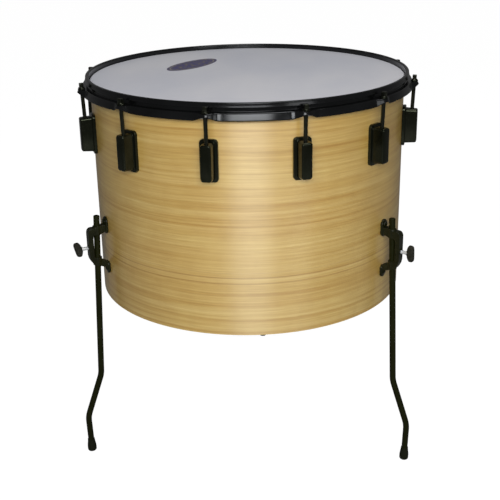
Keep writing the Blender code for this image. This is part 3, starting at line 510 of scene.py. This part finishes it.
# Tension rods
# Turned steel rods, 6 mm thick, with a square key head, a round collar and a washer that
# seats on the hoop's ear. Each leans out a little and screws into its lug's swivel nut.
rod_black, nodes, links, shader = finish("black_nickel_rod", (0.032, 0.034, 0.024), 0.20, 0.88)
links.new(ramp(nodes, links, grain(nodes, links, (200.0, 200.0, 40.0), 3.0, 0.5),
               [(0.3, (0.024, 0.026, 0.018)), (0.7, (0.042, 0.045, 0.032))]), shader.inputs["Base Color"])
rod_lean = math.radians(1.98864)
ear_hole_out = 0.0144
key_square = 0.0064
key_edge = 0.00055
ear_hole = hoop_in + ear_hole_out
washer_low = 0.0003 + 0.0062 * math.sin(rod_lean)
collar_base = washer_low + 0.0013
collar_high = collar_base + 0.0022
head_high = collar_high + 0.0060
rod_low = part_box("tension_rod_01")[0][2] - shoulder
rod_low = rod_low / math.cos(rod_lean) + 0.0003
rod_section = [
    (0.0, rod_low),
    (0.0022, rod_low),
    (0.0030, rod_low + 0.0008),
    (0.0030, washer_low),
    (0.0056, washer_low),
    (0.0058, washer_low + 0.0002),
    (0.0058, collar_base - 0.0002),
    (0.0056, collar_base),
    (0.0048, collar_base),
    (0.0050, collar_base + 0.0003),
    (0.0050, collar_base + 0.0012),
    (0.0048, collar_high - 0.0004),
    (0.0036, collar_high),
    (0.0, collar_high),
]
rod_mesh = turn_profile("rod_shank", rod_section, 24, closed=False)
head_bm = bmesh.new()
bmesh.ops.create_cube(head_bm, size=1.0)
for vert in head_bm.verts:
    vert.co.x *= key_square
    vert.co.y *= key_square
    vert.co.z = collar_high - 0.0006 if vert.co.z < 0.0 else head_high
bmesh.ops.bevel(head_bm, geom=list(head_bm.edges), offset=key_edge, segments=3, profile=0.5, affect="EDGES")
head_bm.from_mesh(rod_mesh)
head_bm.to_mesh(rod_mesh)
head_bm.free()
rod_mesh.shade_smooth()
rod_mesh.set_sharp_from_angle(angle=math.radians(30.0))


def at_station(degrees):
    """Frame of a place round the drum: X points out, Z up."""
    return Matrix.Rotation(math.radians(degrees - 90.0), 4, "Z")


rod_place = Matrix.Translation((ear_hole, 0.0, shoulder)) @ Matrix.Rotation(rod_lean, 4, "Y")
for i, rod_angle in enumerate(rod_angles):
    number = "%02d" % (i + 1)
    rod_stand = at_station(rod_angle) @ rod_place
    rod = show("key_rod_" + number, rod_mesh, rod_black, "rod_" + number, rod_stand)
    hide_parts("tension_rod_" + number)

# Lugs
# Die-cast housings, a rounded plate against the shell with a deep block on it, black nickel
# plated. Two screws hold each from inside the shell, and a swivel nut sits in its hollow.
lug_black, nodes, links, shader = finish("black_nickel_lug", (0.026, 0.028, 0.020), 0.15, 0.86)
links.new(ramp(nodes, links, grain(nodes, links, (40.0, 40.0, 40.0), 3.0, 0.5),
               [(0.3, (0.020, 0.023, 0.013)), (0.7, (0.033, 0.036, 0.024))]), shader.inputs["Base Color"])
nut_steel, nodes, links, shader = finish("bright_nut_steel", (0.60, 0.60, 0.58), 0.25, 1.0)
links.new(ramp(nodes, links, grain(nodes, links, (300.0, 300.0, 60.0), 3.0, 0.5),
               [(0.3, (0.48, 0.48, 0.46)), (0.7, (0.68, 0.68, 0.66))]), shader.inputs["Base Color"])


def rounded_ring(out, width, height, corner, steps=6):
    """Rounded rectangle standing at a distance out from the shell."""
    ring = []
    for k, (sy, sz) in enumerate(((1, 1), (-1, 1), (-1, -1), (1, -1))):
        for i in range(steps + 1):
            turn = math.radians(90.0 * k + 90.0 * i / steps)
            ring.append((out, sy * (0.5 * width - corner) + corner * math.cos(turn),
                         sz * (0.5 * height - corner) + corner * math.sin(turn)))
    return ring


def skin(name, rings, sharp=40.0):
    """Skin rings of equal count and close both ends."""
    bm = bmesh.new()
    made = [[bm.verts.new(point) for point in ring] for ring in rings]
    count = len(made[0])
    for low, high in zip(made, made[1:]):
        for i in range(count):
            j = (i + 1) % count
            bm.faces.new((low[i], low[j], high[j], high[i]))
    bm.faces.new(list(reversed(made[0])))
    bm.faces.new(made[-1])
    bmesh.ops.recalc_face_normals(bm, faces=bm.faces)
    mesh = bpy.data.meshes.new(name)
    bm.to_mesh(mesh)
    bm.free()
    mesh.shade_smooth()
    mesh.set_sharp_from_angle(angle=math.radians(sharp))
    return mesh


lug_low, lug_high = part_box("lug_01")
lug_middle = 0.5 * (lug_low[2] + lug_high[2])
plate_w, plate_h, plate_t, plate_c = 0.0270, 0.0625, 0.0046, 0.0055
block_w, block_h, block_d, block_c = 0.0172, 0.0545, 0.0230, 0.0040
plate_edge = 0.0010
block_fillet = 0.0008
block_taper = 0.0009
nose_curve = 0.0026
nose_corner = 0.0014
lug_rings = [rounded_ring(0.0, plate_w, plate_h, plate_c)]
for i in range(5):
    turn = math.radians(90.0 * i / 4.0)
    drawn_in = plate_edge * (1.0 - math.cos(turn))
    out = plate_t - plate_edge + plate_edge * math.sin(turn)
    lug_rings.append(rounded_ring(out, plate_w - 2.0 * drawn_in, plate_h - 2.0 * drawn_in,
                                  plate_c - drawn_in))
for i in range(4):
    turn = math.radians(90.0 * i / 3.0)
    spread = block_fillet * (1.0 - math.sin(turn))
    out = plate_t + block_fillet * (1.0 - math.cos(turn))
    lug_rings.append(rounded_ring(out, block_w + block_taper + 2.0 * spread,
                                  block_h + block_taper + 2.0 * spread, block_c + spread))
for i in range(6):
    turn = math.radians(90.0 * i / 5.0)
    drawn_in = nose_curve * (1.0 - math.cos(turn))
    out = block_d - nose_curve + nose_curve * math.sin(turn)
    lug_rings.append(rounded_ring(out, block_w - block_taper - 2.0 * drawn_in,
                                  block_h - block_taper - 2.0 * drawn_in,
                                  max(block_c - drawn_in, nose_corner)))
lug_mesh = skin("lug_housing", lug_rings)
screw_section = [
    (0.0, -0.0028),
    (0.0030, -0.0027),
    (0.0044, -0.0020),
    (0.0052, -0.0004),
    (0.0052, 0.0),
    (0.0025, 0.0),
    (0.0025, 0.0150),
    (0.0, 0.0150),
]
lug_screw_mesh = turn_profile("lug_screw", screw_section, 20, closed=False)
seat_gap = 0.0003
screw_seat = 0.0007
lug_place = Matrix.Translation((shell_radius + seat_gap, 0.0, lug_middle))
to_radial = Matrix.Rotation(math.radians(90.0), 4, "Y")
for i, rod_angle in enumerate(rod_angles):
    number = "%02d" % (i + 1)
    station = at_station(rod_angle)
    lug = show("lug_housing_" + number, lug_mesh, lug_black, "drum", station @ lug_place)
    for half, side in (("upper", 0.0220), ("lower", -0.0220)):
        screw_at = (shell_radius - shell_wall - screw_seat, 0.0, lug_middle + side)
        screw_place = Matrix.Translation(screw_at) @ to_radial
        show("lug_screw_%s_%s" % (number, half), lug_screw_mesh, nut_steel, "drum",
             station @ screw_place)
    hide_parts("lug_" + number)
    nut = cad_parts["swivel_nut_" + number]
    nut.data.materials.clear()
    nut.data.materials.append(nut_steel)

# Leg brackets
# Castings painted gloss black. Two collars hold the leg, a bowed arch joins them and takes
# the T screw, and an ear above and below is bolted through the shell with a washer and nut.
bracket_paint, nodes, links, shader = finish("bracket_black_paint", (0.006, 0.0065, 0.003), 0.32)
links.new(ramp(nodes, links, grain(nodes, links, (60.0, 60.0, 60.0), 3.0, 0.5),
               [(0.3, (0.006, 0.007, 0.0015)), (0.7, (0.012, 0.0135, 0.004))]), shader.inputs["Base Color"])
shader.inputs["Specular IOR Level"].default_value = 0.22
cast_texture = grain(nodes, links, (420.0, 420.0, 420.0), 3.0, 0.6)
raised(nodes, links, shader, cast_texture, 0.15, 0.0003)

upper_ear_rise = 0.0132
lower_ear_fall = 0.0170
clamp_drop = 0.0352
leg_stand_off = 0.01835
bracket_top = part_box("leg_bracket_1")[1][2] - upper_ear_rise
bracket_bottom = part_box("leg_bracket_1")[0][2] + lower_ear_fall
clamp_height = bracket_top - clamp_drop
leg_lean = math.radians(2.53)
leg_angles = [-60.0, 60.0, 180.0]


def leg_out(z):
    """Distance of the leg's upper run from the drum's axis at a height."""
    return shell_radius + leg_stand_off + (clamp_height - z) * math.tan(leg_lean)


def softened(outline, reach, steps=5):
    """Round the corners of an outline, starting each curve a reach away from its corner."""
    points = []
    count = len(outline)
    for i, corner in enumerate(outline):
        corner = Vector(corner)
        before = Vector(outline[i - 1])
        after = Vector(outline[(i + 1) % count])
        first = corner + (before - corner).normalized() * min(reach, 0.45 * (before - corner).length)
        last = corner + (after - corner).normalized() * min(reach, 0.45 * (after - corner).length)
        for k in range(steps + 1):
            share = k / steps
            points.append(first * (1 - share) ** 2 + corner * 2 * share * (1 - share) + last * share ** 2)
    return points


def side_slab(name, outline, width, edge):
    """Stand a side outline of distance and height up as a slab with eased edges."""
    rings = []
    half = 0.5 * width
    for y, inset in ((-half, edge), (-half + edge, 0.0), (half - edge, 0.0), (half, edge)):
        ring = []
        for i, point in enumerate(outline):
            point = Vector(point)
            along = (Vector(outline[(i + 1) % len(outline)]) - Vector(outline[i - 1])).normalized()
            inward = Vector((-along.y, along.x))
            ring.append((point.x + inward.x * inset, y, point.y + inward.y * inset))
        rings.append(ring)
    return skin(name, rings)


def ear_plate(name, width, height, middle, depth, edge):
    """Oval plate that lies on the shell, with a rounded rim."""
    corner = 0.49 * width
    rings = [rounded_ring(0.0, width, height, corner, 8)]
    for k in range(5):
        turn = math.radians(90.0 * k / 4.0)
        drawn_in = edge * (1.0 - math.cos(turn))
        out = depth - edge + edge * math.sin(turn)
        rings.append(rounded_ring(out, width - 2.0 * drawn_in, height - 2.0 * drawn_in, corner - drawn_in, 8))
    mesh = skin(name, rings)
    mesh.transform(Matrix.Translation((shell_radius + seat_gap, 0.0, middle)))
    return mesh


def joined(name, meshes):
    """Put several meshes into one."""
    bm = bmesh.new()
    for mesh in meshes:
        bm.from_mesh(mesh)
    made = bpy.data.meshes.new(name)
    bm.to_mesh(made)
    bm.free()
    return made


def evaluated(name, mesh, modifiers):
    """Run modifiers, given as type and settings, on a mesh and keep the outcome."""
    holder = bpy.data.objects.new(name, mesh)
    bpy.context.scene.collection.objects.link(holder)
    for kind, settings in modifiers:
        modifier = holder.modifiers.new(kind.title(), kind)
        for key, value in settings.items():
            setattr(modifier, key, value)
    graph = bpy.context.evaluated_depsgraph_get()
    graph.update()
    made = bpy.data.meshes.new_from_object(holder.evaluated_get(graph))
    bpy.data.objects.remove(holder, do_unlink=True)
    return made


arch_face = shell_radius + 0.0328
arch_back = arch_face - 0.0068
arch_high = bracket_top - 0.0030
arch_low = bracket_bottom + 0.0011
lower_start = bracket_bottom + 0.0140
window_high = bracket_top - 0.0145 + 0.0011
window_low = window_high - 0.0360
collar_along = Matrix.Rotation(math.pi - leg_lean, 4, "Y")
upper_collar_place = Matrix.Translation((leg_out(bracket_top), 0.0, bracket_top)) @ collar_along
lower_collar_place = Matrix.Translation((leg_out(lower_start), 0.0, lower_start)) @ collar_along
arch_outline = softened([
    (leg_out(arch_high), arch_high),
    (arch_face, arch_high),
    (arch_face, window_low - 0.0030),
    (leg_out(arch_low) + 0.0058, arch_low),
    (leg_out(arch_low), arch_low),
    (leg_out(lower_start), lower_start - 0.0011),
    (leg_out(lower_start) + 0.0054, lower_start - 0.0011),
    (arch_back, window_low),
    (arch_back, window_high),
    (leg_out(window_high), window_high),
], 0.0090, 7)
upper_ear_height = 0.0280
upper_ear_low = bracket_top + upper_ear_rise - upper_ear_height
lower_ear_low = bracket_bottom - lower_ear_fall
shell_face = shell_radius + 0.0012
upper_neck = softened([
    (shell_face, bracket_top - 0.0004),
    (leg_out(bracket_top), bracket_top - 0.0011),
    (leg_out(bracket_top), bracket_top - 0.0128),
    (shell_face, upper_ear_low + 0.0070),
], 0.0012, 3)
lower_neck = softened([
    (shell_face, lower_ear_low + 0.0189),
    (leg_out(lower_start), lower_start - 0.0028),
    (leg_out(bracket_bottom), bracket_bottom + 0.0005),
    (shell_face, lower_ear_low + 0.0100),
], 0.0008, 2)
upper_collar = turn_profile("upper_collar", [
    (0.0, 0.0), (0.0066, 0.0), (0.0070, 0.0004),
    (0.0070, 0.0141), (0.0066, 0.0145), (0.0, 0.0145),
], 48, closed=False)
upper_collar.transform(upper_collar_place)
lower_collar = turn_profile("lower_collar", [
    (0.0, 0.0), (0.0066, 0.0), (0.0070, 0.0004),
    (0.0070, 0.0136), (0.0066, 0.0140), (0.0, 0.0140),
], 48, closed=False)
lower_collar.transform(lower_collar_place)
boss = turn_profile("clamp_boss", [
    (0.0, 0.0), (0.0056, 0.0), (0.0056, 0.0040), (0.0050, 0.0046), (0.0, 0.0046),
], 48, closed=False)
boss_inset = 0.0034
boss.transform(Matrix.Translation((arch_back + boss_inset, 0.0, clamp_height)) @ to_radial)
casting = joined("bracket_casting", [
    side_slab("arch", arch_outline, 0.0130, 0.0013),
    side_slab("upper_neck", upper_neck, 0.0120, 0.0022),
    side_slab("lower_neck", lower_neck, 0.0090, 0.0010),
    ear_plate("upper_ear", 0.0175, upper_ear_height, upper_ear_low + 0.0140, 0.0042, 0.0020),
    ear_plate("lower_ear", 0.0130, 0.0200, lower_ear_low + 0.0100, 0.0042, 0.0016),
    upper_collar, lower_collar, boss])
casting = evaluated("bracket_casting", casting, [
    ("REMESH", {"mode": "VOXEL", "voxel_size": 0.00055}),
    ("SMOOTH", {"factor": 0.5, "iterations": 4})])
leg_bore_radius = 0.0054
leg_bore = turn_profile("leg_bore", [
    (0.0, -0.03), (leg_bore_radius, -0.03), (leg_bore_radius, 0.10), (0.0, 0.10),
], 48, closed=False)
leg_bore.transform(upper_collar_place)
screw_bore_radius = 0.0032
screw_bore = turn_profile("screw_bore", [
    (0.0, -0.006), (screw_bore_radius, -0.006), (screw_bore_radius, 0.014), (0.0, 0.014),
], 32, closed=False)
screw_bore.transform(Matrix.Translation((arch_back, 0.0, clamp_height)) @ to_radial)
drill = bpy.data.objects.new("bracket_drill", joined("bracket_drill", [leg_bore, screw_bore]))
bpy.context.scene.collection.objects.link(drill)
casting = evaluated("bracket_casting", casting, [
    ("BOOLEAN", {"operation": "DIFFERENCE", "solver": "EXACT", "use_self": True, "object": drill})])
bpy.data.objects.remove(drill, do_unlink=True)
casting.shade_smooth()
casting.set_sharp_from_angle(angle=math.radians(45.0))

bolt_head = turn_profile("bracket_bolt", [
    (0.0, -0.0020), (0.0025, -0.0020), (0.0025, 0.0), (0.0046, 0.0), (0.0049, 0.0004),
    (0.0045, 0.0014), (0.0034, 0.0022), (0.0014, 0.0026), (0.0014, 0.0012), (0.0, 0.0012),
], 32, closed=False)
bolt_back = turn_profile("bracket_bolt_nut", [
    (0.0, -0.0062), (0.0021, -0.0062), (0.0025, -0.0057), (0.0025, -0.0040),
    (0.0043, -0.0040), (0.0047, -0.0036), (0.0047, -0.0012), (0.0060, -0.0012),
    (0.0060, 0.0), (0.0025, 0.0), (0.0025, 0.0100), (0.0, 0.0100),
], 24, closed=False)
bolt_seat = 0.0045
for i, leg_angle in enumerate(leg_angles):
    number = "%d" % (i + 1)
    station = at_station(leg_angle)
    bracket = show("bracket_casting_" + number, casting, bracket_paint, "drum", station)
    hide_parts("leg_bracket_" + number)
    for half, height in (("upper", bracket_top + 0.0052), ("lower", bracket_bottom - 0.0075)):
        head_place = Matrix.Translation((shell_radius + bolt_seat, 0.0, height)) @ to_radial
        show("bracket_bolt_%s_%s" % (number, half), bolt_head, bracket_paint, "drum",
             station @ head_place)
        nut_at = (shell_radius - shell_wall - screw_seat, 0.0, height)
        nut_place = Matrix.Translation(nut_at) @ to_radial
        show("bracket_nut_%s_%s" % (number, half), bolt_back, nut_steel, "drum",
             station @ nut_place)

# Legs
# Round steel bar, 10 mm thick and painted satin black, bent twice so that the foot stands
# wide of the shell. Each slides in its bracket and is held by the T screw.
leg_paint, nodes, links, shader = finish("leg_black_paint", (0.006, 0.0065, 0.002), 0.42)
leg_tone = ramp(nodes, links, grain(nodes, links, (90.0, 90.0, 30.0), 3.0, 0.5),
                [(0.3, (0.0070, 0.0080, 0.0010)), (0.7, (0.0110, 0.0125, 0.0025))])
links.new(leg_tone, shader.inputs["Base Color"])
shader.inputs["Specular IOR Level"].default_value = 0.12
raised(nodes, links, shader, grain(nodes, links, (700.0, 700.0, 200.0), 3.0, 0.6), 0.06, 0.0002)
leg_radius = 0.0050
leg_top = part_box("leg_1")[1][2]
bend_radius = 0.045
leg_runs = ((0.2800, 2.53), (0.0800, 20.6), (0.0600, -1.8))
leg_corners = [Vector((leg_out(leg_top), 0.0, leg_top))]
for run, degrees in leg_runs:
    turn = math.radians(degrees)
    leg_corners.append(leg_corners[-1] + Vector((math.sin(turn), 0.0, -math.cos(turn))) * run)
leg_line = []
for before, corner, after in zip(leg_corners, leg_corners[1:], leg_corners[2:]):
    first = (before - corner).normalized()
    second = (after - corner).normalized()
    half_angle = 0.5 * first.angle(second)
    reach = bend_radius / math.tan(half_angle)
    centre = corner + (first + second).normalized() * bend_radius / math.sin(half_angle)
    start = corner + first * reach - centre
    finish_point = corner + second * reach - centre
    sweep = start.angle(finish_point)
    for k in range(13):
        share = k / 12.0
        leg_line.append(centre + start * (math.sin((1.0 - share) * sweep) / math.sin(sweep))
                        + finish_point * (math.sin(share * sweep) / math.sin(sweep)))
leg_line.append(leg_corners[-1])
downward = (leg_line[0] - leg_corners[0]).normalized()
crown_height = 0.0014
crown_share = 0.45
crown = []
for k in range(7):
    turn = math.radians(90.0 * k / 6.0)
    crown_point = leg_corners[0] + downward * crown_height * (1.0 - math.cos(turn))
    crown.append((crown_point, leg_radius * (crown_share + 0.55 * math.sin(turn))))
leg_rings = []
leg_steps = crown + [(point, leg_radius) for point in leg_line]
for i, (point, radius) in enumerate(leg_steps):
    if i <= len(crown):
        along = downward
    else:
        along = (leg_steps[min(i + 1, len(leg_steps) - 1)][0] - leg_steps[i - 1][0]).normalized()
    side = Vector((0.0, 1.0, 0.0))
    across = along.cross(side)
    ring = []
    for k in range(32):
        turn = 2.0 * math.pi * k / 32
        ring.append(point + (side * math.cos(turn) + across * math.sin(turn)) * radius)
    leg_rings.append(ring)
leg_mesh = skin("bent_leg", leg_rings, 30.0)
for i, leg_angle in enumerate(leg_angles):
    number = "%d" % (i + 1)
    leg = show("bent_leg_" + number, leg_mesh, leg_paint, "leg_assembly_" + number,
               at_station(leg_angle))
    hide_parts("leg_" + number)

# Feet
# Black rubber caps pushed on the ends of the legs, flared towards a rounded sole.
foot_rubber, nodes, links, shader = finish("foot_rubber", (0.010, 0.011, 0.005), 0.72)
shader.inputs["Specular IOR Level"].default_value = 0.15
rubber_speck = grain(nodes, links, (900.0, 900.0, 900.0), 3.0, 0.6)
links.new(ramp(nodes, links, rubber_speck, [(0.3, (0.007, 0.008, 0.003)), (0.7, (0.014, 0.015, 0.008))]),
          shader.inputs["Base Color"])
raised(nodes, links, shader, rubber_speck, 0.2, 0.0003)
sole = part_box("foot_1")[0][2]
foot_profile = [(0.0, 0.0002), (0.0053, 0.0002), (0.0053, -0.0160), (0.0056, -0.0163), (0.0059, -0.0160)]
for k in range(1, 9):
    share = k / 8.0
    foot_profile.append((0.0059 + 0.0016 * (0.5 - 0.5 * math.cos(math.pi * share)), -0.0160 + 0.0150 * share))
for k in range(7):
    turn = math.radians(90.0 * k / 6.0)
    foot_profile.append((0.0049 + 0.0026 * math.cos(turn), 0.0030 + 0.0032 * math.sin(turn)))
foot_profile.append((0.0, 0.0062))
foot_mesh = turn_profile("rubber_foot", foot_profile, 40, closed=False)
foot_mesh.transform(Matrix.Translation(leg_corners[3]) @ Matrix.Rotation(math.pi + math.radians(1.8), 4, "Y"))
for vert in foot_mesh.vertices:
    vert.co.z = max(vert.co.z, sole)
for i, leg_angle in enumerate(leg_angles):
    number = "%d" % (i + 1)
    foot = show("rubber_foot_" + number, foot_mesh, foot_rubber, "leg_assembly_" + number,
                at_station(leg_angle))
    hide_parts("foot_" + number)

# T screws
# Bright steel screws that press on the legs through the brackets' arches.
# Each carries a moulded T handle with a pebbled grip, left at its own turn.
screw_steel, nodes, links, shader = finish("bright_clamp_steel", (0.84, 0.86, 0.88), 0.26, 0.55)
links.new(ramp(nodes, links, grain(nodes, links, (200.0, 200.0, 200.0), 3.0, 0.5),
               [(0.3, (0.76, 0.78, 0.80)), (0.7, (0.90, 0.92, 0.94))]), shader.inputs["Base Color"])
clamp_tip = leg_out(clamp_height) + leg_radius / math.cos(leg_lean) + 0.0003 + 0.0028 * math.tan(leg_lean)
thread_end = arch_face + 0.0012 - clamp_tip + 0.0020
collar_from = arch_face + 0.0012 + 0.0085 - clamp_tip
screw_profile = [(0.0, 0.0), (0.0019, 0.0), (0.0024, 0.0006)]
ridge = 0.0010
while ridge < thread_end:
    screw_profile += [(0.0028, ridge), (0.0025, ridge + 0.0004)]
    ridge += 0.0008
screw_profile += [
    (0.0028, ridge),
    (0.0028, collar_from),
    (0.0038, collar_from + 0.0003),
    (0.0040, collar_from + 0.0006),
    (0.0040, collar_from + 0.0016),
    (0.0027, collar_from + 0.0016),
    (0.0027, collar_from + 0.0080),
    (0.0, collar_from + 0.0080),
]
screw_mesh = turn_profile("clamp_screw", screw_profile, 32, closed=False)

grip_plastic, nodes, links, shader = finish("pebbled_grip", (0.030, 0.030, 0.024), 0.6)
shader.inputs["Specular IOR Level"].default_value = 0.2
pebble = grain(nodes, links, (1100.0, 1100.0, 1100.0), 2.0, 0.5)
links.new(ramp(nodes, links, pebble, [(0.35, (0.007, 0.007, 0.004)), (0.62, (0.030, 0.030, 0.023))]),
          shader.inputs["Base Color"])
raised(nodes, links, shader, pebble, 0.5, 0.0006)


def grip_outline(length, thickness, height, power=3.4):
    """Rounded bar seen from its end face."""
    ring = []
    for k in range(48):
        turn = 2.0 * math.pi * k / 48
        c, s = math.cos(turn), math.sin(turn)
        ring.append((0.5 * length * math.copysign(abs(c) ** (2.0 / power), c),
                     0.5 * thickness * math.copysign(abs(s) ** (2.0 / power), s), height))
    return ring


handle_from = collar_from + 0.0016 + 0.0003
grip_long = 0.0275
grip_thick = 0.0086
grip_high = 0.0106
grip_swells = (
    (0.0, 0.56, 0.72),
    (0.05, 0.66, 0.84),
    (0.14, 0.82, 0.93),
    (0.25, 0.95, 0.99),
    (0.36, 1.0, 1.0),
    (0.62, 1.0, 1.0),
    (0.76, 0.98, 0.97),
    (0.88, 0.93, 0.88),
    (0.96, 0.86, 0.74),
    (1.0, 0.78, 0.60),
)
grip_rings = []
for share, long_share, thick_share in grip_swells:
    grip_rings.append(grip_outline(grip_long * long_share, grip_thick * thick_share,
                                   handle_from + grip_high * share))
grip_mesh = skin("moulded_grip", grip_rings, 50.0)
handle_turns = (60.0, 4.0, 25.0)
for i, (leg_angle, handle_turn) in enumerate(zip(leg_angles, handle_turns)):
    number = "%d" % (i + 1)
    screw_place = at_station(leg_angle) @ Matrix.Translation((clamp_tip, 0.0, clamp_height)) @ to_radial
    screw = show("clamp_shaft_" + number, screw_mesh, screw_steel, "clamp_" + number, screw_place)
    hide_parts("clamp_screw_" + number)
    turned_place = screw_place @ Matrix.Rotation(math.radians(handle_turn), 4, "Z")
    grip = show("moulded_grip_" + number, grip_mesh, grip_plastic, "clamp_" + number, turned_place)
    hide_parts("clamp_handle_" + number)

# Studio
# A pale floor and a white surround. Camera and transmitted rays see them white, and glossy
# rays a tenth as bright. Lamps in front and above light the drum, and a strip gives the sheen.
floor_gap = 0.0004
floor_half = 9
floor_z = cad_box[0][2]
floor_bm = bmesh.new()
corners = []
for x, y in ((-1, -1), (1, -1), (1, 1), (-1, 1)):
    corners.append(floor_bm.verts.new((x * floor_half, y * floor_half, floor_z - floor_gap)))
floor_bm.faces.new(corners)
floor_mesh = bpy.data.meshes.new("studio_floor")
floor_bm.to_mesh(floor_mesh)
floor_bm.free()
floor = bpy.data.objects.new("studio_floor", floor_mesh)
bpy.context.scene.collection.objects.link(floor)
paper, nodes, links, shader = finish("floor_paper", (0.80, 0.80, 0.80), 0.9)
shader.inputs["Specular IOR Level"].default_value = 0.0
floor_mesh.materials.append(paper)
paper_glow = 1.15
glow_share = 0.86
mirrored_share = 0.10
paper_seen = (0.80, 0.80, 0.80)
paper_lit = (0.22, 0.22, 0.22)
white = nodes.new("ShaderNodeEmission")
white.inputs["Color"].default_value = (1.0, 1.0, 1.0, 1.0)
white.inputs["Strength"].default_value = paper_glow
path = nodes.new("ShaderNodeLightPath")
share = nodes.new("ShaderNodeMixShader")
output = nodes["Material Output"]
seen = reckon(nodes, links, "MAXIMUM", path.outputs["Is Camera Ray"], path.outputs["Is Transmission Ray"])
mirrored = reckon(nodes, links, "MULTIPLY", path.outputs["Is Glossy Ray"], mirrored_share)
seen = reckon(nodes, links, "MAXIMUM", seen, mirrored)
links.new(reckon(nodes, links, "MULTIPLY", seen, glow_share), share.inputs["Fac"])
links.new(shader.outputs["BSDF"], share.inputs[1])
links.new(white.outputs["Emission"], share.inputs[2])
links.new(share.outputs["Shader"], output.inputs["Surface"])
links.new(blend_colours(nodes, links, "MIX", seen, paper_lit, paper_seen), shader.inputs["Base Color"])

world = bpy.data.worlds.new("studio")
bpy.context.scene.world = world
world.use_nodes = True
nodes, links = world.node_tree.nodes, world.node_tree.links
sky = nodes["Background"]
path = nodes.new("ShaderNodeLightPath")
strength = nodes.new("ShaderNodeMapRange")
strength.inputs["To Min"].default_value = 0.03
strength.inputs["To Max"].default_value = 1.0
seen = reckon(nodes, links, "MAXIMUM", path.outputs["Is Camera Ray"], path.outputs["Is Transmission Ray"])
mirrored = reckon(nodes, links, "MULTIPLY", path.outputs["Is Glossy Ray"], mirrored_share)
links.new(reckon(nodes, links, "MAXIMUM", seen, mirrored), strength.inputs["Value"])
links.new(strength.outputs[0], sky.inputs["Strength"])
sky.inputs["Color"].default_value = (1.0, 1.0, 1.0, 1.0)


def softbox(name, place, target, size, power):
    """A rectangular studio light aimed at a point."""
    light = bpy.data.lights.new(name, "AREA")
    light.shape = "RECTANGLE"
    light.size, light.size_y = size
    light.energy = power
    lamp = bpy.data.objects.new(name, light)
    bpy.context.scene.collection.objects.link(lamp)
    lamp.location = place
    lamp.rotation_euler = (Vector(target) - Vector(place)).to_track_quat("-Z", "Y").to_euler()
    return lamp


key_light = softbox("key_light", place=(0.05, -1.80, 0.62), target=(0.0, 0.0, -0.15),
                    size=(2.2, 0.45), power=13.0)
key_light.visible_glossy = False
low_light = softbox("low_front_light", place=(0.15, -1.80, -0.36), target=(0.0, 0.0, -0.20),
                    size=(0.5, 0.30), power=5.0)
low_light.visible_glossy = False
softbox("strip_light", place=(0.18, -1.80, 0.60), target=(0.0, 0.0, -0.15), size=(0.86, 0.50), power=12.5)
softbox("glint_light", place=(1.10, -1.45, 0.20), target=(0.0, 0.0, -0.05), size=(0.50, 0.40), power=1.8)
softbox("top_light", place=(0.30, -0.2, 1.6), target=(0.0, 0.0, 0.0), size=(0.9, 0.9), power=14.3)

# Camera
# It stands where the photograph was taken from: 1.56 m from the drum's axis and 28 cm above
# its rim, looking down about 21 degrees.
camera_angle = math.radians(4.6)
camera_far = 1.5597
camera_height = hoop_top + 0.2813
look_down = 0.3652
camera_roll = -0.0168
camera_data = bpy.data.cameras.new("camera")
camera_data.sensor_width = 36.0
camera_data.lens = 69.13
camera = bpy.data.objects.new("camera", camera_data)
bpy.context.scene.collection.objects.link(camera)
camera_x = camera_far * math.sin(camera_angle)
camera_y = -camera_far * math.cos(camera_angle)
camera.matrix_world = (
    Matrix.Translation((camera_x, camera_y, camera_height))
    @ Matrix.Rotation(camera_angle, 4, "Z")
    @ Matrix.Rotation(math.radians(90.0) - look_down, 4, "X")
    @ Matrix.Rotation(camera_roll, 4, "Z")
)
bpy.context.scene.camera = camera
bpy.context.scene.view_settings.view_transform = "Standard"
